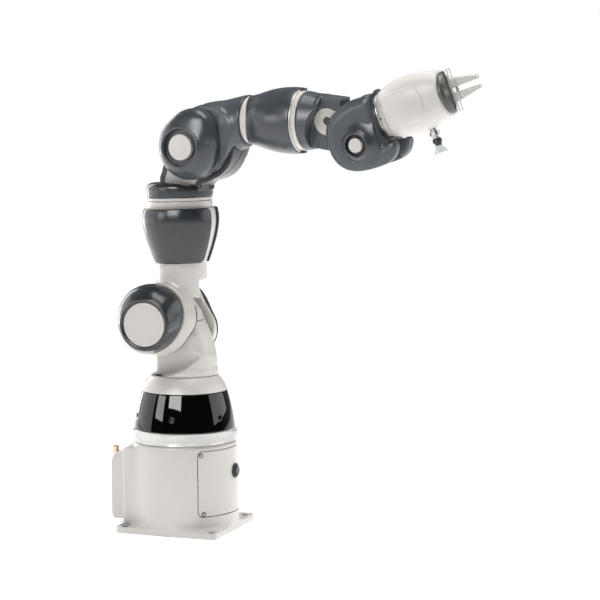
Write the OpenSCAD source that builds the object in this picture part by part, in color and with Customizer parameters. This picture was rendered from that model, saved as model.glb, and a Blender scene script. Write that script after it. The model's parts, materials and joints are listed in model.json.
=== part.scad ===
// Seven-axis collaborative robot arm with a base housing and a two-finger gripper.
// Millimetres. Origin at the centre of the base plate's underside, on the first axis.
// +Z is up and +X is the front of the base. Every link is drawn in its own joint frame.

/* [Kinematics] */
// Height of the shoulder bend axis above the table
shoulder_h = 312; // [310:1:316]
// Sideways offset of the shoulder bend axis from the base axis
shoulder_off = 30; // [30:1:30]
// Distance from the shoulder bend axis to the upper-arm swivel seam
upper_len = 172.83; // [172:0.1:174]
// Forward offset of the elbow bend axis from the upper-arm axis
elbow_off = 41.88; // [41.5:0.1:42.5]
// Height of the elbow bend axis above the swivel seam
elbow_h = 78.73; // [78.5:0.1:79.5]
// Distance from the elbow bend axis to the wrist swivel seam
forearm_len = 164.61; // [164:0.1:166]
// Height of the forearm axis above the elbow bend axis
forearm_off = 40.5; // [40:0.1:41]
// Distance from the wrist swivel seam to the wrist bend axis
wrist_len = 100.39; // [100:0.1:101]
// Drop of the wrist bend axis below the forearm axis
wrist_off = 27; // [26.5:0.1:27.5]

/* [Pose] */
// Shoulder bend, positive leans forward
rest_shoulder = -1.5; // [-3:0.5:3]
// Upper-arm swivel
rest_swivel = -6.5; // [-10:0.5:10]
// Elbow bend, positive lowers the forearm
rest_elbow = 2; // [-5:0.5:5]
// Wrist swivel
rest_wrist = 6.5; // [-10:0.5:10]
// Wrist bend, negative raises the hand
rest_hand = -18.5; // [-25:0.5:0]

/* [Base] */
// Side of the square foot plate
plate_w = 160; // [160:1:160]
// Thickness of the foot plate
plate_t = 10; // [9:0.5:12]
// Distance between bolt holes
bolt_pitch = 136; // [134:1:138]
// Bolt hole diameter
bolt_d = 9; // [8:0.5:9]
// Radius of the round housing
housing_r = 80; // [80:1:80]
// Height of the housing's top edge
housing_top = 133; // [133:1:133]
// Height of the top of the lit ring
ring_top = 150; // [149:1:151]
// Height of the top of the dark band
band_top = 207; // [206:1:208]
// Height of the first swivel seam
seam_h = 230; // [230:1:230]

/* [Gripper] */
// Half the distance between the finger centre lines as drawn
finger_gap = 9.5; // [7:0.5:12]
// Travel of each finger from closed to open
finger_stroke = 25; // [20:1:25]
// Length of the gripper body in front of its flange
grip_len = 105; // [105:1:105]

/* [Colours] */
// White painted castings
white_c = "#dedad4"; // ["#dedad4", "#e8e8e8"]
// Slate grey covers
grey_c = "#565c63"; // ["#565c63", "#444a52"]
// Dark trim and seals
dark_c = "#26282b"; // ["#26282b", "#101010"]
// Bare metal
metal_c = "#a9abad"; // ["#a9abad", "#c0c0c0"]

/* [Hidden] */
$fn = 96;

gap = 0.5;              // clearance across a swivel seam
fit = 0.05;             // radial clearance of a running shaft
snug = 0.05;            // clearance of a part seated in a casting
tongue1_y = 26;         // half thickness of the shoulder tongue
ear1_y = 27;            // inner face of the upper-arm fork
tongue3_y = 22;         // half thickness of the elbow tongue
ear3_y = 23;            // inner face of the elbow fork
tongue5_y = 16;         // half thickness of the wrist tongue
ear5_y = 18.2;          // inner face of the hand fork
shaft2_r = 14;
shaft3_r = 12;
shaft5_r = 8;

// ---------- helpers ----------

// Extrudes an x-z outline from y0 to y1
module across(y0, y1) {
    translate([0, y1, 0])
        rotate([90, 0, 0])
            linear_extrude(y1 - y0)
                children();
}

// Turns an (r, y) profile about the Y axis
module about_y(points) {
    rotate([-90, 0, 0])
        rotate_extrude()
            polygon(points);
}

// Turns an (r, x) profile about the X axis
module about_x(points) {
    rotate([0, 90, 0])
        rotate_extrude()
            polygon(points);
}

// Turns an (r, z) profile about the Z axis
module about_z(points) {
    rotate_extrude()
        polygon(points);
}

// Plain rod along X from x0 to x1
module rod_x(r, x0, x1) {
    translate([x0, 0, 0])
        rotate([0, 90, 0])
            cylinder(r = r, h = x1 - x0);
}

// Plain rod along Y from y0 to y1
module rod_y(r, y0, y1) {
    translate([0, y0, 0])
        rotate([-90, 0, 0])
            cylinder(r = r, h = y1 - y0);
}

module rounded_rect(w, d, r) {
    square([w - 2 * r, d], center = true);
    square([w, d - 2 * r], center = true);
    for (sx = [-1, 1], sy = [-1, 1])
        translate([sx * (w / 2 - r), sy * (d / 2 - r)])
            circle(r);
}

module both_sides() {
    children();
    mirror([0, 1, 0])
        children();
}

// ---------- joint frames, each drawn from the one before ----------

module at_shoulder() {
    translate([-shoulder_off, 0, shoulder_h])
        rotate([0, rest_shoulder, 0])
            children();
}

module at_swivel() {
    at_shoulder()
        translate([shoulder_off, 0, upper_len])
            rotate([0, 0, rest_swivel])
                children();
}

module at_elbow() {
    at_swivel()
        translate([elbow_off, 0, elbow_h])
            rotate([0, rest_elbow, 0])
                children();
}

module at_wrist() {
    at_elbow()
        translate([forearm_len, 0, forearm_off])
            rotate([rest_wrist, 0, 0])
                children();
}

module at_hand() {
    at_wrist()
        translate([wrist_len, 0, -wrist_off])
            rotate([0, rest_hand, 0])
                children();
}

module at_tool() {
    at_hand()
        translate([29, 0, wrist_off])
            children();
}

// ---------- base ----------

cover_half = 53.5;      // half angle of the front cover
cover_z0 = 29.2;
cover_z1 = 124.7;
cover_t = 3;
taper_z = 70;           // the housing narrows above this height
taper_r = 77;

// Radius of the housing wall at height z
function wall_r(z) =
    z < taper_z ? housing_r : housing_r - (housing_r - taper_r) * (z - taper_z) / 50;

// Polar angle and height of each cover screw
cover_screw_places = [[49.8, 119.4], [-49.8, 119.4], [47.5, 32.9], [-47.5, 32.9]];
cover_button_z = 89.4;

module cover_profile(depth, z0, z1) {
    polygon([
        [wall_r(z0) - depth, z0], [wall_r(z0), z0], [wall_r(taper_z), taper_z],
        [wall_r(z1), z1], [wall_r(z1) - depth, z1], [wall_r(taper_z) - depth, taper_z]
    ]);
}

module cover_sector(depth, half, z0, z1) {
    rotate([0, 0, -half])
        rotate_extrude(angle = 2 * half)
            cover_profile(depth, z0, z1);
}

module cover_screw_rods(r, x0, x1) {
    for (p = cover_screw_places)
        rotate([0, 0, p[0]])
            translate([0, 0, p[1]])
                rod_x(r, x0, x1);
}

module base_casting() {
    color(white_c)
        difference() {
            union() {
                linear_extrude(plate_t)
                    rounded_rect(plate_w, plate_w, 6);
                about_z([
                    [0, 5], [housing_r, 5], [housing_r, taper_z], [wall_r(120), 120],
                    [wall_r(120), housing_top - 1.5], [wall_r(120) - 1.5, housing_top],
                    [0, housing_top]
                ]);
                translate([-40, 0, 5])
                    linear_extrude(113)
                        rounded_rect(80, 120, 10);
                intersection() {
                    translate([0, 0, plate_t])
                        cylinder(r1 = 90, r2 = 79, h = 14);
                    translate([0, 0, 10])
                        cube([plate_w, plate_w, 60], center = true);
                }
            }
            // motor well, the ledge that carries the first gearbox, and the rear bay
            translate([0, 0, 12])
                cylinder(r = 71, h = 96);
            translate([0, 0, 100])
                cylinder(r = 58, h = 40);
            translate([0, 0, 116])
                cylinder(r = 69.5, h = 30);
            translate([-73, -52, 12])
                cube([60, 104, 96]);
            // rear opening behind the connector panel
            translate([-90, -42, 28])
                cube([30, 84, 70]);
            // window and seat of the front cover
            translate([55, -44, 40])
                cube([40, 88, 68]);
            cover_sector(cover_t + 0.1, cover_half + 0.25, cover_z0 - 0.25, cover_z1 + 0.25);
            cover_screw_rods(2, 60, 90);
            for (sx = [-1, 1], sy = [-1, 1])
                translate([sx * bolt_pitch / 2, sy * bolt_pitch / 2, -1]) {
                    cylinder(d = bolt_d, h = 40);
                    translate([0, 0, plate_t + 1])
                        cylinder(r = 8.5, h = 12);
                }
        }
}

module front_cover() {
    color(white_c)
        difference() {
            cover_sector(cover_t, cover_half, cover_z0, cover_z1);
            cover_screw_rods(2.1, 60, 90);
            translate([0, 0, cover_button_z])
                rod_x(11, 60, 90);
        }
}

module base_screws() {
    color(dark_c)
        for (p = cover_screw_places)
            rotate([0, 0, p[0]])
                translate([wall_r(p[1]), 0, p[1]]) {
                    rod_x(1.9, -7, 0.4);
                    rod_x(3.4, 0.35, 1.7);
                }
}

panel_x = -97;          // rear face of the connector panel

module connector_panel() {
    color(white_c)
        difference() {
            across(-55, 55)
                polygon([
                    [-80, 16], [-93, 16], [panel_x, 21], [panel_x, 104],
                    [-93, 114], [-80, 121]
                ]);
            across(-51, 51)
                polygon([
                    [-70, 20], [-92, 20], [panel_x + 4, 23], [panel_x + 4, 102],
                    [-91.6, 109.4], [-70, 118]
                ]);
            for (y = [-24, 24])
                translate([0, y, 74])
                    rod_x(11, -110, -85);
            translate([0, 0, 42])
                rod_x(13, -110, -85);
            translate([-86.5, -38, 100])
                cylinder(r = 4.5, h = 30);
        }
}

module panel_connector(r, y, z) {
    translate([0, y, z]) {
        rod_x(r - 0.1, panel_x - 5, -84);
        difference() {
            rod_x(r + 3, panel_x - 2, panel_x);
            rod_x(r - 0.3, panel_x - 3, panel_x + 1);
        }
    }
}

module panel_connectors() {
    color(dark_c) {
        panel_connector(11, -24, 74);
        panel_connector(11, 24, 74);
        panel_connector(13, 0, 42);
    }
}

module air_fitting() {
    color("#b58a4a")
        translate([-86.5, -38, 0])
            difference() {
                about_z([
                    [0, 108], [4.4, 108], [4.4, 122], [7, 122], [7, 127],
                    [5, 128], [5, 134], [0, 134]
                ]);
                translate([0, 0, 110])
                    cylinder(r = 2, h = 40);
            }
}

module light_ring() {
    color("#e6eef2", 0.5)
        about_z([
            [71.2, housing_top], [77, housing_top], [79.4, 134], [80, 136.5],
            [79.2, 139.5], [77.4, 145], [75.4, ring_top], [71.2, ring_top]
        ]);
}

led_count = 24;

module led_board() {
    color("#d8dadc") {
        difference() {
            translate([0, 0, housing_top])
                cylinder(r = 71, h = 1.6);
            translate([0, 0, housing_top - 1])
                cylinder(r = 55, h = 4);
        }
        for (i = [0 : led_count - 1])
            rotate([0, 0, i * 360 / led_count])
                translate([63, -3, housing_top + 1.5])
                    cube([5, 6, 2.5]);
    }
}

// Straight line from a to b, bulging outwards by h in the middle
function bulge(a, b, h, n) =
    [for (i = [0 : n]) let (t = i / n) [
        a[0] + (b[0] - a[0]) * t + h * sin(180 * t),
        a[1] + (b[1] - a[1]) * t
    ]];

module band_cover() {
    outer = bulge([75.4, ring_top], [63.4, band_top], 1.2, 6);
    color("#0d0e10")
        difference() {
            about_z(concat(outer, [[60, band_top], [72, ring_top]]));
            for (a = [-22, 38, 98, 158, 218, 278])
                rotate([0, 0, a])
                    translate([0, 0, 171])
                        rod_x(3, 60, 80);
        }
}

module shoulder_cap() {
    outer = bulge([63.4, band_top], [49.4, seam_h], 1.4, 6);
    color(white_c)
        about_z(concat(outer, [[38, seam_h], [38, seam_h - 3], [47, seam_h - 3], [60, band_top]]));
}

module joint1_drive() {
    color(metal_c)
        about_z([
            [12, 38], [36, 38], [36, 100], [50, 104], [50, 116], [69, 116], [69, 124],
            [54, 126], [54, 198], [12, 198]
        ]);
}

module joint1_bearing() {
    color(metal_c)
        about_z([[32 + fit, 198], [50, 198], [50, 210], [32 + fit, 210]]);
}

module drive_boards() {
    color("#2f6b45")
        for (x = [-69, -52]) {
            translate([x, -40, 22])
                cube([1.6, 80, 80]);
            for (y = [-30, 30], z = [30, 94])
                translate([0, y, z])
                    rod_x(2, x == -69 ? -73 : -67.4, x);
            translate([x + 1.6, -24, 40])
                cube([5, 22, 22]);
            translate([x + 1.6, 8, 60])
                cube([8, 18, 30]);
        }
}

module button_switch() {
    color(dark_c)
        translate([0, 0, cover_button_z])
            difference() {
                union() {
                    rod_x(10.4, 54, 80);
                    rod_x(10.8, 80, 82.4);
                }
                rod_x(8.1, 63, 90);
            }
}

button_travel = 3;

module brake_button() {
    color("#141416")
        translate([0, 0, cover_button_z])
            about_x([[0, 67], [7.8, 67], [7.8, 83.8], [6.8, 84.8], [0, 84.8]]);
}

// ---------- shoulder ----------

foot_r = 49.2;
ear_sweep_r = 84;       // room that the upper-arm fork needs around its axis
tongue1_r = 46.5;

module joint1_hub() {
    color(metal_c)
        about_z([
            [9, 198.4], [32, 198.4], [32, 213], [37, 215], [37, seam_h + gap], [9, seam_h + gap]
        ]);
}

module tongue1_outline() {
    circle(tongue1_r);
    polygon([[-10, 2 - shoulder_h + seam_h], [79, 2 - shoulder_h + seam_h], [79, -42],
        [67, -33], [55, 0], [42, 18], [0, 0]]);
}

module shoulder_casting() {
    color(white_c)
        difference() {
            union() {
                // round foot, swept clear for the fork
                difference() {
                    translate([0, 0, seam_h + gap])
                        cylinder(r = foot_r, h = 55);
                    for (s = [-1, 1])
                        translate([-shoulder_off, s * (tongue1_y + 30), shoulder_h])
                            rotate([90, 0, 0])
                                cylinder(r = ear_sweep_r, h = 60, center = true);
                    translate([-90, -tongue1_y - 1, seam_h + 12])
                        cube([180, 2 * tongue1_y + 2, 80]);
                }
                // tongue
                intersection() {
                    translate([-shoulder_off, 0, shoulder_h])
                        across(-tongue1_y, tongue1_y)
                            tongue1_outline();
                    union() {
                        translate([0, 0, seam_h + gap])
                            cylinder(r = foot_r, h = 200);
                        translate([-200, -50, shoulder_h - 60])
                            cube([200, 100, 120]);
                    }
                }
            }
            translate([-shoulder_off, 0, shoulder_h]) {
                rod_y(38, -22, 22);
                rod_y(17, -40, 40);
            }
            // cable way down through the hub
            translate([4, 0, seam_h - 1])
                cylinder(r = 12, h = 40);
            translate([-shoulder_off, 0, shoulder_h])
                across(-tongue1_y - 1, -tongue1_y + 2.5)
                    cover1_outline();
            shoulder_screw_rods(1.9, 10);
            shoulder_screw_rods(3.1, 1.3);
        }
}

module cover1_outline() {
    difference() {
        polygon([[40, -2], [53, -2], [65, -35], [70, -46], [70, -66], [10, -66], [10, -40]]);
        circle(tongue1_r + 2);
        circle(51);
    }
}

shoulder_screw_places = [[52.5, -8], [62, -60], [18, -61]];

module shoulder_screw_rods(r, depth) {
    for (p = shoulder_screw_places)
        translate([p[0] - shoulder_off, -tongue1_y, p[1] + shoulder_h])
            rod_y(r, -5, depth);
}

module shoulder_cover() {
    color(white_c)
        difference() {
            translate([-shoulder_off, 0, shoulder_h])
                across(-tongue1_y, -tongue1_y + 2.5)
                    offset_cover1();
            shoulder_screw_rods(1.9, 10);
            intersection() {
                shoulder_screw_rods(3.1, 1.2);
                translate([-100, -tongue1_y - 6, 200])
                    cube([200, 7.2, 200]);
            }
            difference() {
                translate([0, 0, 200])
                    cylinder(r = 90, h = 150);
                translate([0, 0, 199])
                    cylinder(r = foot_r, h = 152);
            }
        }
}

module offset_cover1() {
    difference() {
        polygon([[40, -2.3], [52.8, -2.3], [64.7, -35], [69.7, -46], [69.7, -65.7],
            [10.3, -65.7], [10.3, -40]]);
        circle(51.3);
    }
}

module shoulder_screws() {
    color(dark_c)
        for (p = shoulder_screw_places)
            translate([p[0] - shoulder_off, -tongue1_y, p[1] + shoulder_h]) {
                rod_y(1.8, 1, 9);
                rod_y(2.8, 0, 1.2);
            }
}

module joint2_drive() {
    color(metal_c)
        translate([-shoulder_off, 0, shoulder_h])
            about_y([
                [shaft2_r + fit, -18], [30, -21.9], [38 - snug, -21.9], [38 - snug, 21.9],
                [30, 21.9], [shaft2_r + fit, 18]
            ]);
}

// ---------- upper arm ----------

cap_r = 51;
cap_out = 79;           // distance of each cap's disc from the middle plane
barrel_r = 46;

module joint2_hub() {
    color(metal_c)
        at_shoulder()
            about_y([
                [6, -45], [24, -45], [24, -ear1_y], [shaft2_r, -ear1_y],
                [shaft2_r, ear1_y], [24, ear1_y], [24, 45], [6, 45]
            ]);
}

module ear1_outline() {
    circle(cap_r);
    polygon([[0, -50], [26, -44], [46.5, -27.7], [58, -12], [62, 2], [63, 60], [63.7, 82.2],
        [-5.7, 82.2], [-9, 64], [-20, 46], [-46, 20]]);
}

module upper_casting() {
    color(white_c)
        at_shoulder()
            difference() {
                union() {
                    both_sides()
                        across(ear1_y, 40)
                            ear1_outline();
                    // neck web above the tongue
                    across(-ear1_y - 1, ear1_y + 1)
                        polygon([[-24, 46], [40, 40], [61, 31], [63, 60], [63.7, 82.2],
                            [-5.7, 82.2], [-9, 64]]);
                    translate([shoulder_off, 0, 0])
                        about_z([
                            [0, 62], [36, 62], [36.5, 80], [40, 98], [45, 122],
                            [barrel_r, 146], [barrel_r, 162.6], [0, 162.6]
                        ]);
                }
                rod_y(49, -ear1_y, ear1_y);
                both_sides() {
                    rod_y(24 + snug, ear1_y - 1, 50);
                    rod_y(44, 44, 60);
                }
                // housing of the upper-arm swivel drive
                translate([shoulder_off, 0, 100])
                    cylinder(r = 36, h = 80);
                translate([shoulder_off, 0, 66])
                    cylinder(r = 14, h = 60);
            }
}

module cap_shell(r, y0, y1, disc_r) {
    about_y([
        [disc_r, y0 + 5], [r - 4, y0], [r, y0], [r, y0 + 12], [r - 3, y1 - 14], [r - 9, y1 - 4],
        [r - 13, y1 - 1], [r - 15, y1 - 1], [disc_r + 0.6, y1 - 4], [disc_r + 0.6, y1 - 8],
        [disc_r - 4, y1 - 8], [disc_r - 4, y0 + 9]
    ]);
}

module upper_front_cap() {
    color(grey_c)
        at_shoulder()
            translate([-2, 0, 1])
                mirror([0, 1, 0])
                    cap_shell(cap_r, 40, cap_out, 32);
}

module upper_rear_cap() {
    color(grey_c)
        at_shoulder()
            translate([-2, 0, 1])
                cap_shell(cap_r, 40, cap_out, 32);
}

module upper_discs() {
    color(white_c)
        at_shoulder()
            translate([-2, 0, 1])
                both_sides()
                    rod_y(32.3, cap_out - 8, cap_out);
}

pad_z0 = -90;           // pads run between these heights below the swivel seam
pad_z1 = -9;

module pad_half() {
    outer = [
        [39.5, pad_z0], [44, -78], [50.5, -58], [55, -40], [56.4, -26], [56, -16], [53.7, pad_z1]
    ];
    rotate([0, 0, -168])
        rotate_extrude(angle = 156)
            polygon(concat(outer, [
                [49, pad_z1], [46.6, -26], [45.6, -52], [40.6, -76], [37.3, pad_z0]
            ]));
}

module upper_front_pad() {
    color(grey_c)
        at_shoulder()
            translate([shoulder_off, 0, upper_len])
                pad_half();
}

module upper_rear_pad() {
    color(grey_c)
        at_shoulder()
            translate([shoulder_off, 0, upper_len])
                mirror([0, 1, 0])
                    pad_half();
}

module upper_ring() {
    color(white_c)
        at_shoulder()
            translate([shoulder_off, 0, upper_len])
                about_z([[37, -10.1], [46.6, -10.1], [47.4, -4], [47, 1.2], [37, 1.2]]);
}

module joint7_drive() {
    color(metal_c)
        at_shoulder()
            translate([shoulder_off, 0, upper_len])
                about_z([
                    [8, -70], [28, -70], [36 - snug, -62], [36 - snug, -6], [26, -6],
                    [26, -12], [22 + fit, -12], [22 + fit, -30], [8, -30]
                ]);
}

// ---------- elbow swivel ----------

tongue3_r = 45;

module joint7_hub() {
    color(metal_c)
        at_swivel()
            about_z([
                [7, -29.6], [22, -29.6], [22, -11], [25.5, -10.5], [25.5, -5], [34, -4.4],
                [34, 1.7], [7, 1.7]
            ]);
}

module tongue3_outline() {
    circle(tongue3_r);
    polygon([[-elbow_off - 21, 24 - elbow_h], [14, 24 - elbow_h], [36, -28], [0, 0],
        [-42, 8], [-53, -25], [-elbow_off - 17, -34]]);
}

module swivel_casting() {
    color(white_c)
        at_swivel()
            difference() {
                union() {
                    about_z([[0, 1.7], [46.8, 1.7], [47, 6.4], [44.4, 6.4], [44.4, 28.5], [0, 28.5]]);
                    translate([elbow_off, 0, elbow_h])
                        across(-tongue3_y, tongue3_y)
                            tongue3_outline();
                }
                translate([elbow_off, 0, elbow_h]) {
                    rod_y(35, -18.5, 18.5);
                    rod_y(15, -30, 30);
                }
                cylinder(r = 12, h = 22);
                // seat of the collar
                about_z([[44.5, 6.6], [56, 6.6], [56, 28.6], [44.5, 28.6]]);
            }
}

module swivel_collar() {
    color(dark_c)
        at_swivel()
            about_z([
                [44.6, 6.7], [48.1, 6.7], [48.9, 12], [48.9, 20], [48, 25], [46.4, 28],
                [44.6, 28.4]
            ]);
}

module swivel_strap() {
    color(dark_c)
        at_swivel()
            translate([elbow_off, 0, elbow_h])
                across(-20, 20)
                    difference() {
                        union() {
                            circle(tongue3_r + 3);
                            translate([11, 2])
                                circle(tongue3_r + 3);
                        }
                        circle(tongue3_r + 0.2);
                        polygon([[-90, -90], [12, -54.5], [40, -31], [0, 0], [34, 36], [60, 90],
                            [-90, 90]]);
                    }
}

module joint3_drive() {
    color(metal_c)
        at_swivel()
            translate([elbow_off, 0, elbow_h])
                about_y([
                    [shaft3_r + fit, -15], [26, -18.4], [35 - snug, -18.4],
                    [35 - snug, 18.4], [26, 18.4], [shaft3_r + fit, 15]
                ]);
}

// ---------- elbow and forearm ----------

web3_r = 62.4;          // inner radius of the elbow fork's web
elbow_cap_r = 45.5;

module joint3_hub() {
    color(metal_c)
        at_elbow()
            about_y([
                [5, -39], [21, -39], [21, -ear3_y], [shaft3_r, -ear3_y],
                [shaft3_r, ear3_y], [21, ear3_y], [21, 39], [5, 39]
            ]);
}

module ear3_outline() {
    circle(46);
    polygon([[-46, 4], [-37, 29], [-17, 48], [-9, 60], [26, 69], [55, 74.5], [76, 75], [76, 8],
        [56, 4], [45.5, -17], [30, -35], [0, -46]]);
}

module elbow_casting() {
    color(grey_c)
        at_elbow()
            difference() {
                union() {
                    both_sides()
                        across(ear3_y, 36)
                            ear3_outline();
                    intersection() {
                        across(-ear3_y - 1, ear3_y + 1)
                            polygon([[12, 65.4], [26, 69], [55, 74.5], [76, 75], [76, 4], [56, 4],
                                [12, 16]]);
                        rotate([0, 0, 0])
                            difference() {
                                rod_y(140, -30, 30);
                                rod_y(web3_r, -31, 31);
                            }
                    }
                    translate([0, 0, forearm_off])
                        difference() {
                            rod_x(35.4, 40, 76);
                            translate([0, 0, -forearm_off])
                                rod_y(web3_r, -60, 60);
                        }
                }
                both_sides()
                    rod_y(21 + snug, ear3_y - 1, 50);
                translate([0, 0, forearm_off])
                    rod_x(12, 50, 90);
            }
}

module elbow_cap() {
    translate([0, 0, 2])
        about_y([
            [12, 39.2], [23.3, 39.2], [23.3, 36], [elbow_cap_r, 36], [elbow_cap_r, 46],
            [42, 58], [34, 65.5], [29, 68], [26.6, 66], [26.6, 61], [16, 61], [16, 43]
        ]);
}

module elbow_front_cap() {
    color(grey_c)
        at_elbow()
            mirror([0, 1, 0])
                elbow_cap();
}

module elbow_rear_cap() {
    color(grey_c)
        at_elbow()
            elbow_cap();
}

module elbow_discs() {
    color(white_c)
        at_elbow()
            translate([0, 0, 2])
                both_sides()
                    about_y([[0, 61], [18.5, 61], [18.5, 68], [17.5, 69.5], [0, 69.5]]);
}

module neck_ring() {
    color(white_c)
        at_elbow()
            translate([0, 0, forearm_off])
                about_x([[14, 76], [33.7, 76], [33.7, 80.4], [14, 80.4]]);
}

module forearm_casting() {
    color(grey_c)
        at_elbow()
            translate([0, 0, forearm_off])
                difference() {
                    about_x([
                        [0, 80.4], [35.4, 80.4], [38.9, 98], [43.6, 114], [46.4, 131],
                        [47.2, 146], [47.2, 156], [45.6, 161], [0, 161]
                    ]);
                    rod_x(34, 100, 170);
                    rod_x(12, 70, 110);
                }
}

module wrist_ring() {
    color(white_c)
        at_elbow()
            translate([0, 0, forearm_off])
                about_x([[34.3, 161], [42.4, 161], [42.4, 169], [34.3, 169]]);
}

module joint4_drive() {
    color(metal_c)
        at_elbow()
            translate([0, 0, forearm_off])
                about_x([
                    [7, 101], [26, 101], [34 - snug, 106], [34 - snug, 160], [22, 160],
                    [22, 152], [18 + fit, 152], [18 + fit, 138], [7, 138]
                ]);
}

// ---------- wrist ----------

tongue5_r = 29.3;

module joint4_hub() {
    color(metal_c)
        at_wrist()
            translate([-forearm_len, 0, 0])
                about_x([
                    [6, 138.4], [18, 138.4], [18, 152.6], [21.5, 153], [21.5, 162],
                    [32, 163], [32, 169.6], [6, 169.6]
                ]);
}

collar_x0 = 5;          // the wrist collar starts just past the ring
collar_x1 = 27;

module tongue5_outline() {
    translate([wrist_len, -wrist_off])
        circle(tongue5_r);
    polygon([[collar_x0 + 4, -36], [collar_x0 + 4, 38], [collar_x1, 38], [66, 33.5], [66, 22],
        [84, 0], [100, -6], [80, -46], [72.2, -38], [60, -43.2]]);
}

module wrist_casting() {
    color(grey_c)
        at_wrist()
            difference() {
                union() {
                    difference() {
                        about_x([
                            [0, collar_x0], [42, collar_x0], [42, 10], [38.2, collar_x1],
                            [0, collar_x1]
                        ]);
                        // scoops that the hand's fork sweeps through
                        translate([wrist_len, 0, -wrist_off])
                            both_sides()
                                rod_y(84, tongue5_y, 60);
                    }
                    across(-tongue5_y, tongue5_y)
                        tongue5_outline();
                }
                translate([wrist_len, 0, -wrist_off]) {
                    rod_y(22, -11, 11);
                    rod_y(10, -30, 30);
                }
                rod_x(8, 0, 50);
                both_sides()
                    translate([0, tongue5_y - 0.8, 0])
                        wrist_plate_solid(0.8 + 1, 0.15);
            }
}

// Oblong side plate from the collar to the wrist bend axis
module wrist_plate_solid(t, grow) {
    rotate([-90, 0, 0])
        mirror([0, 1, 0])
            linear_extrude(t)
                difference() {
                    union() {
                        translate([42, 0])
                            circle(19 + grow);
                        translate([wrist_len - 12, -wrist_off + 10])
                            circle(19 + grow);
                        polygon([
                            [42 - 2, 19 + grow], [62, 19 + grow], [92, 0], [88, -36],
                            [70, -34 - grow], [40, -19 - grow]
                        ]);
                    }
                    translate([wrist_len, -wrist_off])
                        circle(10.2 - grow);
                }
}

module wrist_plates() {
    color(white_c)
        at_wrist()
            both_sides()
                translate([0, tongue5_y - 0.8, 0])
                    difference() {
                        wrist_plate_solid(1.6, 0);
                        translate([42, 0, 0])
                            rod_y(5, -1, 3);
                    }
}

module wrist_strap() {
    color(dark_c)
        at_wrist()
            translate([wrist_len, 0, -wrist_off])
                across(-10, 10)
                    difference() {
                        circle(tongue5_r + 0.9);
                        circle(tongue5_r + 0.05);
                        polygon([[-90, -90], [-8, -40], [0, 0], [-4, 40], [-90, 90]]);
                    }
}

module joint5_drive() {
    color(metal_c)
        at_wrist()
            translate([wrist_len, 0, -wrist_off])
                about_y([
                    [shaft5_r + fit, -8], [18, -10.9], [22 - snug, -10.9],
                    [22 - snug, 10.9], [18, 10.9], [shaft5_r + fit, 8]
                ]);
}

// ---------- hand ----------

web5_r = 30.8;
hand_x1 = 34.5;         // front face of the hand

module joint5_hub() {
    color(metal_c)
        at_hand()
            about_y([
                [3, -30], [14, -30], [14, -ear5_y], [shaft5_r, -ear5_y],
                [shaft5_r, ear5_y], [14, ear5_y], [14, 30], [3, 30]
            ]);
}

module ear5_outline() {
    polygon([[-47, 7], [-46, 22], [-40, 38], [-32, 47], [-14, 53.6], [8, 58.3], [hand_x1, 62],
        [hand_x1, -11], [40, -20], [41, -32], [21, -37], [-7, -36], [-22, -32], [-36, -22],
        [-44, -9]]);
}

module hand_casting() {
    color(grey_c)
        at_hand()
            difference() {
                union() {
                    both_sides()
                        across(ear5_y, 30)
                            ear5_outline();
                    across(-ear5_y - 1, ear5_y + 1)
                        polygon([[22, 4], [22, 60.2], [hand_x1, 62], [hand_x1, -11], [29, -11]]);
                }
                rod_y(web5_r, -ear5_y, ear5_y);
                both_sides()
                    rod_y(14 + snug, ear5_y - 1, 40);
                translate([0, 0, wrist_off]) {
                    rod_x(15.2, 30, 40);
                    translate([0, 0, 15])
                        rod_x(8.2, -2, 40);
                }
            }
}

module hand_cap() {
    about_y([
        [8, 30.3], [14.2, 30.3], [14.2, 30], [33, 30], [33, 35], [28, 43], [19, 48.5],
        [15.2, 47], [15.2, 38], [9, 38]
    ]);
}

module hand_caps() {
    color(grey_c)
        at_hand()
            both_sides()
                hand_cap();
}

module hand_discs() {
    color(white_c)
        at_hand()
            both_sides()
                about_y([[0, 38], [10.2, 38], [10.2, 48.6], [9.4, 49.6], [0, 49.6]]);
}

module joint6_drive() {
    color(metal_c)
        at_hand()
            translate([0, 0, wrist_off])
                difference() {
                    union() {
                        rod_x(15, 30.9, hand_x1);
                        translate([0, 0, 15])
                            rod_x(8, 23, hand_x1);
                    }
                    rod_x(6 + fit, 30, 40);
                }
}

module flange_seal() {
    color(dark_c)
        at_hand()
            translate([0, 0, wrist_off])
                about_x([[24, hand_x1], [37.5, hand_x1], [37.5, hand_x1 + 1.2], [24, hand_x1 + 1.2]]);
}

// ---------- gripper, drawn about the tool axis ----------

module tool_flange() {
    color(metal_c)
        at_tool()
            difference() {
                about_x([[0, 2.4], [6, 2.4], [6, 6], [23, 6.9], [37, 7.1], [37, 11], [0, 11]]);
                rod_x(2.5, 0, 20);
            }
}

shell_outline = [[30, 11], [34, 14], [38.5, 26], [41, 43], [41, 58], [39, 78], [35.5, 97],
    [33, grip_len]];
shell_t = 2.6;

module gripper_shell() {
    inner = [for (i = [len(shell_outline) - 1 : -1 : 0])
        [shell_outline[i][0] - shell_t, min(max(shell_outline[i][1], 14), grip_len - 3)]];
    color(white_c)
        at_tool()
            difference() {
                about_x(concat([[0, 11]], shell_outline, [[0, grip_len], [0, grip_len - 3]],
                    inner, [[0, 14]]));
                translate([68, 0, -50])
                    cylinder(r = 5, h = 20);
            }
}

module finger_rail() {
    color(dark_c)
        at_tool() {
            about_x([[0, grip_len], [31, grip_len], [31, 112], [29, 114], [0, 114]]);
            translate([113.9, -7, -31])
                cube([3.1, 14, 62]);
        }
    color(metal_c)
        at_tool()
            rod_x(24, 16, 96);
}

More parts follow.
